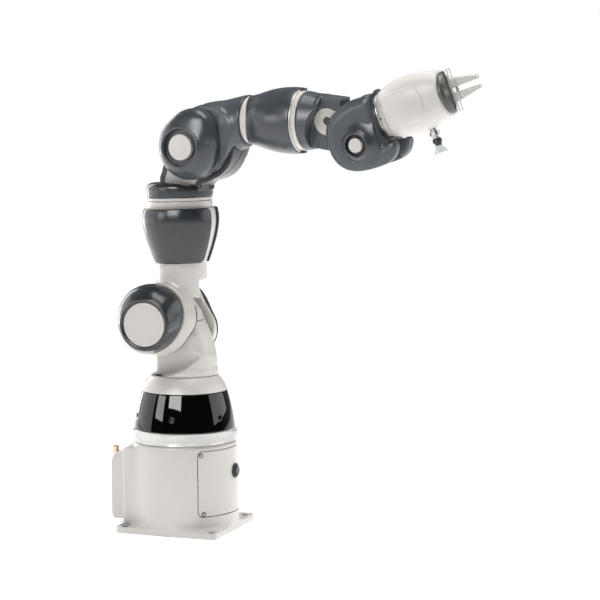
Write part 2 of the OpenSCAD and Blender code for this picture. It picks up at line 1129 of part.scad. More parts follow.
module suction_tool() {
    color("#c9b48a")
        at_tool()
            translate([68, 0, 0])
                rotate([180, 0, 0])
                    about_z([
                        [0, 36], [4.8, 36], [4.8, 44], [7, 44], [7, 50], [5, 51], [5, 56],
                        [6.4, 57], [6.4, 61], [4.6, 62], [4.6, 66], [8.4, 72], [9.6, 75],
                        [8.4, 75], [5, 69], [0, 69]
                    ]);
}

// One finger: carriage on the rail, then a tapered blade
module finger() {
    translate([117.4, -8, finger_gap - 6])
        cube([7, 16, 12]);
    across(-6, 6)
        polygon([[117.4, finger_gap - 6], [158, finger_gap - 6], [158, finger_gap - 2],
            [124, finger_gap + 6], [117.4, finger_gap + 6]]);
}

module upper_finger() {
    color("#cfcfcc")
        at_tool()
            finger();
}

module lower_finger() {
    color("#cfcfcc")
        at_tool()
            mirror([0, 0, 1])
                finger();
}

base_casting();
front_cover();
base_screws();
connector_panel();
panel_connectors();
air_fitting();
light_ring();
led_board();
band_cover();
shoulder_cap();
joint1_drive();
joint1_bearing();
drive_boards();
button_switch();
brake_button();
joint1_hub();
shoulder_casting();
shoulder_cover();
shoulder_screws();
joint2_drive();
joint2_hub();
upper_casting();
upper_front_cap();
upper_rear_cap();
upper_discs();
upper_front_pad();
upper_rear_pad();
upper_ring();
joint7_drive();
joint7_hub();
swivel_casting();
swivel_collar();
swivel_strap();
joint3_drive();
joint3_hub();
elbow_casting();
elbow_front_cap();
elbow_rear_cap();
elbow_discs();
neck_ring();
forearm_casting();
wrist_ring();
joint4_drive();
joint4_hub();
wrist_casting();
wrist_plates();
wrist_strap();
joint5_drive();
joint5_hub();
hand_casting();
hand_caps();
hand_discs();
flange_seal();
joint6_drive();
tool_flange();
gripper_shell();
finger_rail();
suction_tool();
upper_finger();
lower_finger();
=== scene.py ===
import json
import math
import bpy
import numpy as np
import openvdb
from mathutils import Matrix, Vector


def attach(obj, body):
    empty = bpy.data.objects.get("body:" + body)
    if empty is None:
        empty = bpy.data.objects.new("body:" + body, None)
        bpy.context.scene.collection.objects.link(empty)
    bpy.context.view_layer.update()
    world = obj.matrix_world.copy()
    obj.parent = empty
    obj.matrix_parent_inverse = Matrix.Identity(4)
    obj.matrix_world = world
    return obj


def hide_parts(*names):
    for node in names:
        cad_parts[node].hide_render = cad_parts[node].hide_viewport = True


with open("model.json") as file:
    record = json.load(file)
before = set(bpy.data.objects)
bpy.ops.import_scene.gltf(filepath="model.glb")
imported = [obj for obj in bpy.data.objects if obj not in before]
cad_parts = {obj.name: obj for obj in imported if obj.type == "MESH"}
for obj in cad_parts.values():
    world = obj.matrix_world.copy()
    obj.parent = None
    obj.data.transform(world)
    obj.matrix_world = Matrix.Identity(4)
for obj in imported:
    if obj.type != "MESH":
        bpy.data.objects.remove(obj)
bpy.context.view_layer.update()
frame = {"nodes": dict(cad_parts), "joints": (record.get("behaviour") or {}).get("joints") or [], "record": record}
MM = 0.001

# ---------- link frames, worked out from the joints ----------

JOINTS = {j["name"]: j for j in frame["joints"]}


def joint_axis(name, toward):
    """Unit axis of a joint, on the side of the direction toward."""
    v = np.array(JOINTS[name]["axis"], float)
    v /= np.linalg.norm(v)
    return v if v @ np.array(toward, float) > 0 else -v


class Link:
    """A right-handed frame in which a link's pieces are drawn in millimetres."""

    def __init__(self, body, origin, x, y, z):
        self.body = body
        self.origin = np.array(origin, float)
        self.axes = np.array([x, y, z], float)

    def place(self, points):
        return self.origin + (np.asarray(points, float) * MM) @ self.axes

    def turn(self, vectors):
        return np.asarray(vectors, float) @ self.axes


def link_at(body, joint, x=None, y=None, z=None):
    """Frame at a joint's own point. Two of the three axes are given."""
    if x is None:
        x = np.cross(y, z)
    if y is None:
        y = np.cross(z, x)
    if z is None:
        z = np.cross(x, y)
    return Link(body, JOINTS[joint]["pos_m"], x, y, z)


AHEAD, SIDE, UP = (1, 0, 0), (0, 1, 0), (0, 0, 1)
axis1 = joint_axis("axis1_base_turn", UP)
axis2 = joint_axis("axis2_shoulder_bend", SIDE)
axis7 = joint_axis("axis7_upper_arm_turn", UP)
axis3 = joint_axis("axis3_elbow_bend", SIDE)
axis4 = joint_axis("axis4_wrist_turn", AHEAD)
axis5 = joint_axis("axis5_wrist_bend", SIDE)
axis6 = joint_axis("axis6_tool_turn", AHEAD)
slide = joint_axis("upper_finger_slide", UP)

BASE = Link("base", (0, 0, 0), AHEAD, SIDE, UP)
BUTTON = Link("brake_button", (0, 0, 0), AHEAD, SIDE, UP)
SHOULDER = link_at("shoulder", "axis2_shoulder_bend", y=axis2, z=axis1)
UPPER = link_at("upper_arm", "axis2_shoulder_bend", y=axis2, z=axis7)
UPPER_TOP = link_at("upper_arm", "axis7_upper_arm_turn", y=axis2, z=axis7)
SWIVEL = link_at("elbow_swivel", "axis7_upper_arm_turn", y=axis3, z=axis7)
ELBOW = link_at("forearm", "axis3_elbow_bend", y=axis3, x=axis4)
WRIST = link_at("wrist", "axis4_wrist_turn", x=axis4, y=axis5)
HAND = link_at("hand", "axis5_wrist_bend", y=axis5, x=axis6)
TOOL = link_at("gripper", "axis6_tool_turn", x=axis6, z=slide)
UPPER_FINGER = Link("upper_finger", TOOL.origin, *TOOL.axes)
LOWER_FINGER = Link("lower_finger", TOOL.origin, *TOOL.axes)


def seen_from(link, other):
    """Origin of one link in another link's millimetres."""
    return (link.origin - other.origin) @ other.axes.T / MM


elbow_in_swivel = seen_from(ELBOW, SWIVEL)
hand_in_wrist = seen_from(HAND, WRIST)
tool_in_hand = seen_from(TOOL, HAND)
column_x = -SHOULDER.origin[0] / MM
seam_z = JOINTS["axis1_base_turn"]["pos_m"][2] / MM
shoulder_z = SHOULDER.origin[2] / MM
swivel_z = seen_from(SWIVEL, UPPER)[2]
forearm_z = seen_from(WRIST, ELBOW)[2]

# ---------- materials ----------


def node_material(name):
    mat = bpy.data.materials.new(name)
    mat.use_nodes = True
    nodes = mat.node_tree.nodes
    return mat, nodes, mat.node_tree.links, nodes["Principled BSDF"]


def noise(nodes, links, scale, detail=4.0, rough=0.5, stretch=(1, 1, 1)):
    """Noise in object space, with a scale per metre."""
    where = nodes.new("ShaderNodeTexCoord")
    mapping = nodes.new("ShaderNodeMapping")
    mapping.inputs["Scale"].default_value = stretch
    tex = nodes.new("ShaderNodeTexNoise")
    tex.inputs["Scale"].default_value = scale
    tex.inputs["Detail"].default_value = detail
    tex.inputs["Roughness"].default_value = rough
    links.new(where.outputs["Object"], mapping.inputs["Vector"])
    links.new(mapping.outputs["Vector"], tex.inputs["Vector"])
    return tex.outputs["Fac"]


def remap(nodes, links, value, low, high):
    node = nodes.new("ShaderNodeMapRange")
    node.inputs["From Min"].default_value = 0.3
    node.inputs["From Max"].default_value = 0.7
    node.inputs["To Min"].default_value = low
    node.inputs["To Max"].default_value = high
    links.new(value, node.inputs["Value"])
    return node.outputs["Result"]


def two_tone(nodes, links, fac, a, b):
    mix = nodes.new("ShaderNodeMix")
    mix.data_type = "RGBA"
    mix.inputs["A"].default_value = (*a, 1)
    mix.inputs["B"].default_value = (*b, 1)
    links.new(fac, mix.inputs["Factor"])
    return mix.outputs["Result"]


def bump(nodes, links, bsdf, height, strength, distance):
    node = nodes.new("ShaderNodeBump")
    node.inputs["Strength"].default_value = strength
    node.inputs["Distance"].default_value = distance
    links.new(height, node.inputs["Height"])
    links.new(node.outputs["Normal"], bsdf.inputs["Normal"])


def painted_edge_highlight(nodes, links, colour, highlight_colour, amount):
    """Painted highlight: lightens convex edges, broken up by noise."""
    geometry = nodes.new("ShaderNodeNewGeometry")
    edge = nodes.new("ShaderNodeMapRange")
    edge.inputs["From Min"].default_value = 0.57
    edge.inputs["From Max"].default_value = 0.72
    edge.inputs["To Max"].default_value = amount
    links.new(geometry.outputs["Pointiness"], edge.inputs["Value"])
    patchy = nodes.new("ShaderNodeMath")
    patchy.operation = "MULTIPLY"
    links.new(edge.outputs["Result"], patchy.inputs[0])
    links.new(remap(nodes, links, noise(nodes, links, 160.0), 0.1, 1.0), patchy.inputs[1])
    mix = nodes.new("ShaderNodeMix")
    mix.data_type = "RGBA"
    mix.inputs["B"].default_value = (*highlight_colour, 1)
    links.new(patchy.outputs[0], mix.inputs["Factor"])
    links.new(colour, mix.inputs["A"])
    return mix.outputs["Result"]


def coating(name, a, b, rough, grain, depth, coat=0.0, highlight_colour=None, blotch=9.0, metallic=0.0):
    """Paint or moulded plastic: a slight tone drift, uneven gloss and a fine surface grain."""
    mat, nodes, links, bsdf = node_material(name)
    colour = two_tone(nodes, links, noise(nodes, links, blotch, 6.0, 0.6), a, b)
    # Convex edges are lightened here: a painted highlight.
    if highlight_colour:
        colour = painted_edge_highlight(nodes, links, colour, highlight_colour, 0.35)
    links.new(colour, bsdf.inputs["Base Color"])
    gloss = remap(nodes, links, noise(nodes, links, 45.0, 5.0), rough[0], rough[1])
    links.new(gloss, bsdf.inputs["Roughness"])
    bump(nodes, links, bsdf, noise(nodes, links, grain, 3.0), depth, 0.0002)
    bsdf.inputs["Metallic"].default_value = metallic
    bsdf.inputs["Coat Weight"].default_value = coat
    bsdf.inputs["Coat Roughness"].default_value = 0.18
    return mat


def brushed(name, a, b, rough, stretch=(1, 1, 60)):
    """Machined metal with fine drawn lines."""
    mat, nodes, links, bsdf = node_material(name)
    lines = noise(nodes, links, 60.0, 5.0, 0.7, stretch)
    links.new(two_tone(nodes, links, lines, a, b), bsdf.inputs["Base Color"])
    links.new(remap(nodes, links, lines, rough[0], rough[1]), bsdf.inputs["Roughness"])
    bump(nodes, links, bsdf, lines, 0.25, 0.0001)
    bsdf.inputs["Metallic"].default_value = 1.0
    return mat


def clear_plastic(name):
    """Frosted clear ring; the painted warm glow of the lamp board inside shows through it."""
    mat, nodes, links, bsdf = node_material(name)
    haze = noise(nodes, links, 30.0, 4.0)
    links.new(two_tone(nodes, links, haze, (0.86, 0.87, 0.87), (0.93, 0.94, 0.94)),
              bsdf.inputs["Base Color"])
    links.new(remap(nodes, links, haze, 0.10, 0.20), bsdf.inputs["Roughness"])
    bump(nodes, links, bsdf, noise(nodes, links, 220.0), 0.12, 0.0002)
    bsdf.inputs["Transmission Weight"].default_value = 0.72
    bsdf.inputs["IOR"].default_value = 1.30
    return mat


def circuit_board(name):
    """Green board with a pattern of copper tracks."""
    mat, nodes, links, bsdf = node_material(name)
    where = nodes.new("ShaderNodeTexCoord")
    tracks = nodes.new("ShaderNodeTexBrick")
    tracks.inputs["Scale"].default_value = 90.0
    tracks.inputs["Mortar Size"].default_value = 0.06
    tracks.inputs["Color1"].default_value = (0.02, 0.16, 0.07, 1)
    tracks.inputs["Color2"].default_value = (0.015, 0.12, 0.05, 1)
    tracks.inputs["Mortar"].default_value = (0.10, 0.30, 0.12, 1)
    links.new(where.outputs["Object"], tracks.inputs["Vector"])
    links.new(tracks.outputs["Color"], bsdf.inputs["Base Color"])
    links.new(remap(nodes, links, noise(nodes, links, 80.0), 0.25, 0.45), bsdf.inputs["Roughness"])
    bump(nodes, links, bsdf, tracks.outputs["Fac"], 0.2, 0.0002)
    return mat


WHITE = coating("white_paint", (0.585, 0.556, 0.528), (0.610, 0.582, 0.554), (0.27, 0.34),
                420.0, 0.03)
WHITE_PLASTIC = coating("white_cover", (0.560, 0.532, 0.505), (0.585, 0.558, 0.530),
                        (0.34, 0.46), 420.0, 0.03)
SLATE = coating("slate_cover", (0.036, 0.042, 0.050), (0.045, 0.052, 0.061), (0.26, 0.32),
                420.0, 0.03)
# A darker copy of slate_cover for the upper-arm covers, pads and swivel collar: painted shade.
SLATE_SHADED = coating("slate_cover_painted_shade", (0.022, 0.026, 0.030), (0.029, 0.034, 0.039), (0.22, 0.28),
                     420.0, 0.03)
SLATE_METAL = coating("slate_metal", (0.046, 0.054, 0.064), (0.056, 0.065, 0.076),
                      (0.30, 0.36), 420.0, 0.03)
# Its convex edges are lightened: a painted highlight.
DARK = coating("dark_trim", (0.012, 0.013, 0.015), (0.019, 0.021, 0.023), (0.32, 0.46),
               2600.0, 0.25, highlight_colour=(0.05, 0.05, 0.06))
GLOSS = coating("gloss_black", (0.001, 0.0015, 0.0015), (0.002, 0.003, 0.003), (0.02, 0.04),
                300.0, 0.01)
CLEAR = clear_plastic("clear_ring")
METAL = brushed("bare_metal", (0.62, 0.62, 0.62), (0.76, 0.76, 0.75), (0.24, 0.36))
STEEL = brushed("steel", (0.42, 0.42, 0.43), (0.56, 0.56, 0.57), (0.26, 0.42), (60, 60, 1))
BRASS = brushed("brass", (0.64, 0.47, 0.36), (0.74, 0.57, 0.46), (0.22, 0.34), (1, 1, 20))
BOARD = circuit_board("board")
CONNECTOR = coating("connector", (0.030, 0.032, 0.035), (0.045, 0.047, 0.050), (0.3, 0.45),
                    1800.0, 0.3)
FINGER = coating("finger_grey", (0.44, 0.43, 0.40), (0.50, 0.49, 0.46), (0.34, 0.46),
                 700.0, 0.05, metallic=0.1)
LAMP_PAINTED_GLOW = brushed("lamp_metal_painted_glow", (0.74, 0.70, 0.64), (0.88, 0.85, 0.80), (0.18, 0.30))
# The faint warm emission over the whole lamp board, its backing included, is a painted warm highlight.
LAMP_PAINTED_GLOW.node_tree.nodes["Principled BSDF"].inputs["Emission Color"].default_value = (1.0, 0.93, 0.84, 1)
LAMP_PAINTED_GLOW.node_tree.nodes["Principled BSDF"].inputs["Emission Strength"].default_value = 0.06
# Its convex edges are lightened: a painted highlight.
FRONT_GREY = coating("front_grey", (0.060, 0.064, 0.060), (0.085, 0.088, 0.082), (0.25, 0.38),
                     1800.0, 0.2, highlight_colour=(0.2, 0.2, 0.2))
CUP = coating("clear_cup", (0.80, 0.82, 0.83), (0.86, 0.88, 0.88), (0.10, 0.2), 600.0, 0.1)
CUP.node_tree.nodes["Principled BSDF"].inputs["Transmission Weight"].default_value = 0.55
CUP.node_tree.nodes["Principled BSDF"].inputs["IOR"].default_value = 1.15
SLOT_MATERIALS = {
    "white_paint": WHITE, "white_cover": WHITE_PLASTIC, "slate_cover": SLATE,
    "slate_metal": SLATE_METAL, "dark_trim": DARK, "gloss_black": GLOSS, "clear_ring": CLEAR,
    "bare_metal": METAL, "steel": STEEL, "brass": BRASS, "board": BOARD,
    "connector": CONNECTOR, "finger_grey": FINGER,
}

# ---------- shapes as distance functions, in millimetres ----------


def smin(a, b, k):
    """Joins two shapes with a fillet about k wide."""
    h = np.clip(0.5 + 0.5 * (b - a) / k, 0, 1)
    return b + (a - b) * h - k * h * (1 - h)


def smax(a, b, k):
    """Keeps what two shapes share, with edges rounded about k wide."""
    return -smin(-a, -b, k)


def mix(a, b, t):
    return a + (b - a) * t


def disc(u, v, cu, cv, r):
    return np.hypot(u - cu, v - cv) - r


def slab(w, low, high):
    return np.abs(w - (low + high) / 2) - (high - low) / 2


def rounded_box(u, v, half_u, half_v, r):
    qu = np.abs(u) - half_u + r
    qv = np.abs(v) - half_v + r
    return np.hypot(np.maximum(qu, 0), np.maximum(qv, 0)) + np.minimum(np.maximum(qu, qv), 0) - r


def round_cone(point, a, ra, b, rb):
    """Hull of two balls, or of two discs when the points are flat."""
    ba = [q - p for p, q in zip(a, b)]
    l2 = sum(c * c for c in ba)
    rr = ra - rb
    a2 = l2 - rr * rr
    pa = [p - c for p, c in zip(point, a)]
    along = sum(p * c for p, c in zip(pa, ba))
    past = along - l2
    x2 = sum((p * l2 - c * along) ** 2 for p, c in zip(pa, ba))
    y2 = along * along * l2
    z2 = past * past * l2
    k = np.sign(rr) * rr * rr * x2
    side = (np.sqrt(x2 * a2 / l2) + along * rr) / l2 - ra
    end_b = np.sqrt(x2 + z2) / l2 - rb
    end_a = np.sqrt(x2 + y2) / l2 - ra
    near_a = np.sign(along) * a2 * y2 < k
    near_b = np.sign(past) * a2 * z2 > k
    return np.where(near_b, end_b, np.where(near_a, end_a, side))


def outline(u, v, points, grow=0.0):
    """Distance to a closed polygon, grown and so rounded by grow."""
    best = np.float32(1e12)
    inside = np.zeros(np.broadcast(u, v).shape, bool)
    for (au, av), (bu, bv) in zip(points, points[1:] + points[:1]):
        eu, ev = bu - au, bv - av
        wu, wv = u - au, v - av
        t = np.clip((wu * eu + wv * ev) / (eu * eu + ev * ev), 0, 1)
        best = np.minimum(best, (wu - eu * t) ** 2 + (wv - ev * t) ** 2)
        if ev:
            inside ^= ((av > v) != (bv > v)) & (u < eu * (v - av) / ev + au)
    d = np.sqrt(best)
    return np.where(inside, -d, d) - grow


def curve(points, degree):
    """Smooth radius along an axis, through (position, radius) points."""
    at, radius = zip(*points)
    middle = (at[0] + at[-1]) / 2
    half = abs(at[-1] - at[0]) / 2
    poly = np.polyfit((np.array(at) - middle) / half, radius, degree)
    return lambda w: np.polyval(poly, (np.clip(w, min(at), max(at)) - middle) / half)


def smooth_loop(points, count=5):
    """A closed curve through the points."""
    pts = np.array(points, float)
    out = []
    for i in range(len(pts)):
        a, b, c, d = (pts[(i + k) % len(pts)] for k in (-1, 0, 1, 2))
        for t in np.arange(count) / count:
            out.append(0.5 * (2 * b + (c - a) * t + (2 * a - 5 * b + 4 * c - d) * t**2
                              + (3 * b - a - 3 * c + d) * t**3))
    return [tuple(q) for q in out]


BLOCK = 4


def surface(shape, low, high, step):
    """Vertices, quads and normals of the surface where shape is zero."""
    low = np.array(low, np.float32)
    blocks = np.ceil((np.array(high) - low) / (step * BLOCK)).astype(int) + 1
    middles = [low[i] + ((np.arange(blocks[i]) + 0.5) * BLOCK - 0.5) * step for i in range(3)]
    coarse = shape(*np.meshgrid(*[m.astype(np.float32) for m in middles], indexing="ij", sparse=True))
    coarse = np.broadcast_to(coarse, blocks)
    band = 3 * step
    near = np.abs(coarse) < BLOCK * step * 1.35
    value = np.repeat(np.sign(coarse)[..., None] * band, BLOCK**3, axis=-1).astype(np.float32)
    index = np.argwhere(near)
    steps = np.arange(BLOCK, dtype=np.float32)
    start = low + index.astype(np.float32) * BLOCK * step
    x = start[:, 0, None, None, None] + (steps * step)[None, :, None, None]
    y = start[:, 1, None, None, None] + (steps * step)[None, None, :, None]
    z = start[:, 2, None, None, None] + (steps * step)[None, None, None, :]
    fine = np.broadcast_to(shape(x, y, z), (len(index), BLOCK, BLOCK, BLOCK))
    value[near] = np.clip(fine, -band, band).reshape(len(index), -1)
    value = value.reshape(*blocks, BLOCK, BLOCK, BLOCK).transpose(0, 3, 1, 4, 2, 5)
    value = np.ascontiguousarray(value.reshape(blocks * BLOCK))
    grid = openvdb.FloatGrid(band)
    grid.copyFromArray(value)
    points, quads = grid.convertToQuads(0.0)
    points = low + points.astype(np.float32) * step
    for _ in range(3):
        d, normal = slope(shape, points)
        points = points - np.clip(d, -step, step)[:, None] * normal
    normal = slope(shape, points)[1]
    return points, quads, normal


def slope(shape, points, reach=0.25):
    """Distance and unit normal at each point."""
    p = points.astype(np.float64)

    def at(offset):
        q = p + offset
        return np.broadcast_to(shape(q[:, 0], q[:, 1], q[:, 2]), len(p))

    g = np.stack([at(reach * e) - at(-reach * e) for e in np.eye(3)], axis=1) / (2 * reach)
    size = np.maximum(np.linalg.norm(g, axis=1), 1e-3)
    return at(np.zeros(3)) / size, g / size[:, None]


def add_piece(name, link, material, slot, nodes, points, faces, normals=None):
    """Makes one piece from points and faces in link millimetres."""
    mesh = bpy.data.meshes.new(name)
    mesh.from_pydata(link.place(points).tolist(), [], [list(map(int, f)) for f in faces])
    mesh.shade_smooth()
    if normals is not None:
        mesh.normals_split_custom_set_from_vertices(link.turn(normals).tolist())
    mesh.materials.append(material)
    obj = bpy.data.objects.new(name, mesh)
    bpy.context.scene.collection.objects.link(obj)
    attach(obj, link.body)
    if nodes:
        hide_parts(*nodes)
    return obj


def shell(name, link, slot, nodes, shape, low, high, step=1.3, material=None):
    """A piece meshed from a distance function."""
    points, quads, normals = surface(shape, low, high, step)
    return add_piece(name, link, material or SLOT_MATERIALS[slot], slot, nodes, points, quads, normals)


# ---------- turned and plate pieces ----------


def rounded(points, radius, count=5):
    """A closed (r, h) outline with every corner rounded."""
    out = []
    size = len(points)
    for i in range(size):
        before, here, after = (np.array(points[(i + k) % size][:2], float) for k in (-1, 0, 1))
        r = points[i][2] if len(points[i]) > 2 else radius
        a, b = before - here, after - here
        la, lb = np.linalg.norm(a), np.linalg.norm(b)
        a, b = a / la, b / lb
        cut = min(r, 0.45 * la, 0.45 * lb)
        if cut < 0.02:
            out.append(here)
            continue
        for t in np.linspace(0, 1, count):
            out.append((1 - t) ** 2 * (here + a * cut) + 2 * t * (1 - t) * here + t**2 * (here + b * cut))
    return np.array(out)


def turned_mesh(profile, axis, centre, segments, radius):
    """Points and faces of an (r, h) outline turned about an axis through centre."""
    ring = rounded(profile, radius)
    angle = np.linspace(0, 2 * math.pi, segments, endpoint=False)
    r, h = ring[:, 0], ring[:, 1]
    cyl = np.stack([
        np.cos(angle)[:, None] * r, np.sin(angle)[:, None] * r, np.broadcast_to(h, (segments, len(h))),
    ], axis=-1).reshape(-1, 3)
    points = np.zeros_like(cyl)
    along = "xyz".index(axis)
    points[:, (along + 1) % 3] = cyl[:, 0]
    points[:, (along + 2) % 3] = cyl[:, 1]
    points[:, along] = cyl[:, 2]
    points += np.array(centre, float)
    n = len(h)
    area = np.sum(r * np.roll(h, -1) - np.roll(r, -1) * h)
    faces = []
    for i in range(segments):
        j = (i + 1) % segments
        for k in range(n):
            m = (k + 1) % n
            quad = [i * n + k, i * n + m, j * n + m, j * n + k]
            faces.append(quad[::-1] if area > 0 else quad)
    return points, faces


def joined(parts):
    """Several (points, faces) meshes as one."""
    points, faces, start = [], [], 0
    for p, f in parts:
        points.append(np.asarray(p, float))
        faces += [[start + i for i in face] for face in f]
        start += len(p)
    return np.concatenate(points), faces


def tidy_mesh(obj, angle=32.0):
    """Closes the turned caps, drops doubled points and weights the normals by face."""
    modifier = obj.modifiers.new("weld", "WELD")
    modifier.merge_threshold = 0.000005
    obj.data.set_sharp_from_angle(angle=math.radians(angle))
    weighted = obj.modifiers.new("normals", "WEIGHTED_NORMAL")
    weighted.keep_sharp = True
    return obj


def turned(name, link, slot, nodes, profiles, axis="z", centre=(0, 0, 0), segments=160, radius=0.7,
           material=None):
    """One piece made of one or more turned outlines."""
    if not isinstance(profiles[0], list):
        profiles = [profiles]
    parts = [turned_mesh(p, axis, centre, segments, radius) for p in profiles]
    points, faces = joined(parts)
    obj = add_piece(name, link, material or SLOT_MATERIALS[slot], slot, nodes, points, faces)
    return tidy_mesh(obj)


def plate_mesh(edge, place, thick, bevel, inner_rings=9):
    """A plate over a surface. edge(inset) gives the outline's (u, v) points and
    place(u, v, height) puts them on the surface."""
    rings = []
    for inset, height in [(0, -thick), (0, -bevel), (0.3 * bevel, -0.3 * bevel), (bevel, 0)]:
        uv = np.array(edge(inset))
        rings.append(place(uv[:, 0], uv[:, 1], np.full(len(uv), float(height))))
    top = np.array(edge(bevel))
    middle = top.mean(0)
    for t in np.linspace(1, 0, inner_rings + 1)[1:-1]:
        uv = middle + (top - middle) * t
        rings.append(place(uv[:, 0], uv[:, 1], np.zeros(len(uv))))
    n = len(top)
    tip = place(middle[:1], middle[1:], np.zeros(1))
    points = np.concatenate([*rings, tip])
    faces = []
    for k in range(len(rings) - 1):
        for i in range(n):
            j = (i + 1) % n
            faces.append([k * n + i, k * n + j, (k + 1) * n + j, (k + 1) * n + i])
    last = (len(rings) - 1) * n
    for i in range(n):
        faces.append([last + i, last + (i + 1) % n, len(points) - 1])
    faces.append(list(range(n))[::-1])
    return points, faces


def round_rect_edge(cu, cv, half_u, half_v, r):
    def edge(inset, count=10):
        out = []
        hu, hv, rr = half_u - inset, half_v - inset, max(r - inset, 0.3)
        for su, sv, a0 in ((1, 1, 0), (-1, 1, 90), (-1, -1, 180), (1, -1, 270)):
            for a in np.radians(np.linspace(a0, a0 + 90, count)):
                out.append((cu + su * (hu - rr) + rr * math.cos(a), cv + sv * (hv - rr) + rr * math.sin(a)))
        # points along the sides, so that a plate can follow a curved wall
        full = []
        for p, q in zip(out, out[1:] + out[:1]):
            steps = max(1, int(math.hypot(q[0] - p[0], q[1] - p[1]) / 6))
            full += [(p[0] + (q[0] - p[0]) * t / steps, p[1] + (q[1] - p[1]) * t / steps)
                     for t in range(steps)]
        return full
    return edge


def on_front_face(y):
    """Points on a plane whose outside faces -Y."""
    def place(u, v, height):
        return np.stack([u, np.full(len(u), y) - height, v], axis=1)
    return place


def screw_mesh(at, out, r, height):
    """A socket-head screw: a chamfered round head with a six-sided recess."""
    out = np.array(out, float)
    out /= np.linalg.norm(out)
    side = np.cross(out, (0.3, 0.5, 0.8))
    side /= np.linalg.norm(side)
    third = np.cross(out, side)
    count = 36
    a = np.linspace(0, 2 * math.pi, count, endpoint=False)
    hexagon = np.cos(math.pi / 6) / np.cos((a % (math.pi / 3)) - math.pi / 6)
    rings = [(r, -0.8 * height, 1), (r, 0.7 * height, 1), (0.9 * r, height, 1),
             (0.58 * r, height, 0), (0.5 * r, 0.85 * height, 0), (0.5 * r, -0.3 * height, 0)]
    points = []
    for radius, h, round_ring in rings:
        rr = radius * (1.0 if round_ring else hexagon)
        points.append(np.array(at, float) + out * h
                      + (np.cos(a) * rr)[:, None] * side + (np.sin(a) * rr)[:, None] * third)
    points.append(np.array(at, float)[None] + out * (-0.3 * height))
    points = np.concatenate(points)
    faces = [[k * count + i, k * count + (i + 1) % count, (k + 1) * count + (i + 1) % count,
              (k + 1) * count + i] for k in range(len(rings) - 1) for i in range(count)]
    last = (len(rings) - 1) * count
    faces += [[last + i, last + (i + 1) % count, len(points) - 1] for i in range(count)]
    return points, faces


def screws(name, link, slot, nodes, places, r, height):
    """places is a list of (position, outward direction)."""
    points, faces = joined([screw_mesh(p, n, r, height) for p, n in places])
    return tidy_mesh(add_piece(name, link, SLOT_MATERIALS[slot], slot, nodes, points, faces), 40)


# ---------- base ----------

plate_half = 80.0
plate_top = 10.0
housing_top = 133.0
bolt_at = 68.0
cover_angle = math.radians(53.5)
cover_low, cover_high = 29.2, 124.7


def housing_radius(z):
    return 80.0 - 3.4 * np.clip((z - 66) / 67, 0, 1) ** 1.6


def base_shape(x, y, z):
    r = np.hypot(x, y)
    housing = smax(r - housing_radius(z), slab(z, 0, housing_top), 6)
    block = smax(rounded_box(x + 40, y, 40, 60, 12), slab(z, 4, 126), 5)
    block = smax(block, (z - 122 - 0.55 * (x + 80)) * 0.87, 6)
    body = smin(housing, block, 7)
    plate = smax(rounded_box(x, y, plate_half, plate_half, 7), slab(z, 0, plate_top), 1.6)
    corner = round_cone((x, y, z), (30, -30, 2), 34.0, (60, -60, 4), 9.0)
    corner = smax(corner, 0.5 * (x - y) / 0.7071 + z * 1.2 - 72, 3) * 0.8
    body = smin(smin(body, plate, 8), corner, 5)
    body = smax(body, rounded_box(x, y, plate_half, plate_half, 7), 0.8)
    body = smax(body, -z, 0.8)
    ax, ay = np.abs(x), np.abs(y)
    hole = smax(disc(ax, ay, bolt_at, bolt_at, 4.5), 1.0 - z, 0.3)
    face = smax(disc(ax, ay, bolt_at, bolt_at, 8.8), plate_top - 1.6 - z, 0.4)
    body = smax(body, -smin(hole, face, 0.6), 0.9)
    around = np.arctan2(y, x) * 80
    pocket = rounded_box(around, z - (cover_low + cover_high) / 2, 80 * cover_angle + 0.75,
                         (cover_high - cover_low) / 2 + 0.75, 9)
    pocket = smax(pocket, housing_radius(z) - 2.6 - r, 0.5)
    pocket = smax(pocket, -x, 0.5)
    return smax(body, -pocket, 0.5)


shell("base_housing", BASE, "white_paint", ["base_casting"], base_shape,
      (-83, -83, -2), (83, 83, 137), 1.2)


# Dark sleeves inside the plate's bolt holes: painted shade in the holes.
points, faces = joined([
    turned_mesh([(0, 0.9), (4.7, 0.9), (4.7, 8.3), (4.1, 8.3), (4.1, 1.8), (0, 1.8)], "z",
                (sx * bolt_at, sy * bolt_at, 0), 48, 0.2)
    for sx in (-1, 1) for sy in (-1, 1)])
tidy_mesh(add_piece("plate_hole_painted_shade", BASE, DARK, "dark_trim", [], points, faces))


def on_housing(lift):
    def place(u, v, height):
        r = housing_radius(v) + lift + height
        a = u / 80.0
        return np.stack([r * np.cos(a), r * np.sin(a), v], axis=1)
    return place


cover_middle = (cover_low + cover_high) / 2
cover_edge = round_rect_edge(0, cover_middle, 80 * cover_angle - 0.2,
                             (cover_high - cover_low) / 2 - 0.2, 8)
# A dark patch under the cover's edge darkens the gap around the cover: painted shade.
gap_shade_edge = round_rect_edge(0, cover_middle, 80 * cover_angle + 0.6,
                              (cover_high - cover_low) / 2 + 0.6, 9)
points, faces = plate_mesh(cover_edge, on_housing(0.15), 2.4, 0.7)
tidy_mesh(add_piece("front_access_cover", BASE, WHITE, "white_paint", ["front_cover"], points, faces))
points, faces = plate_mesh(gap_shade_edge, on_housing(-1.2), 1.2, 0.2)
tidy_mesh(add_piece("front_cover_painted_gap_shade", BASE, DARK, "dark_trim", [], points, faces))


def on_wall(degrees, z, lift=0.2):
    a = math.radians(degrees)
    r = float(housing_radius(z)) + lift
    return (r * math.cos(a), r * math.sin(a), z), (math.cos(a), math.sin(a), 0)


cover_screw_places = [on_wall(s * a, z) for s in (-1, 1) for a, z in ((49.8, 119.4), (47.5, 32.9))]
screws("cover_screws", BASE, "steel", ["base_screws"], cover_screw_places, 2.3, 1.3)
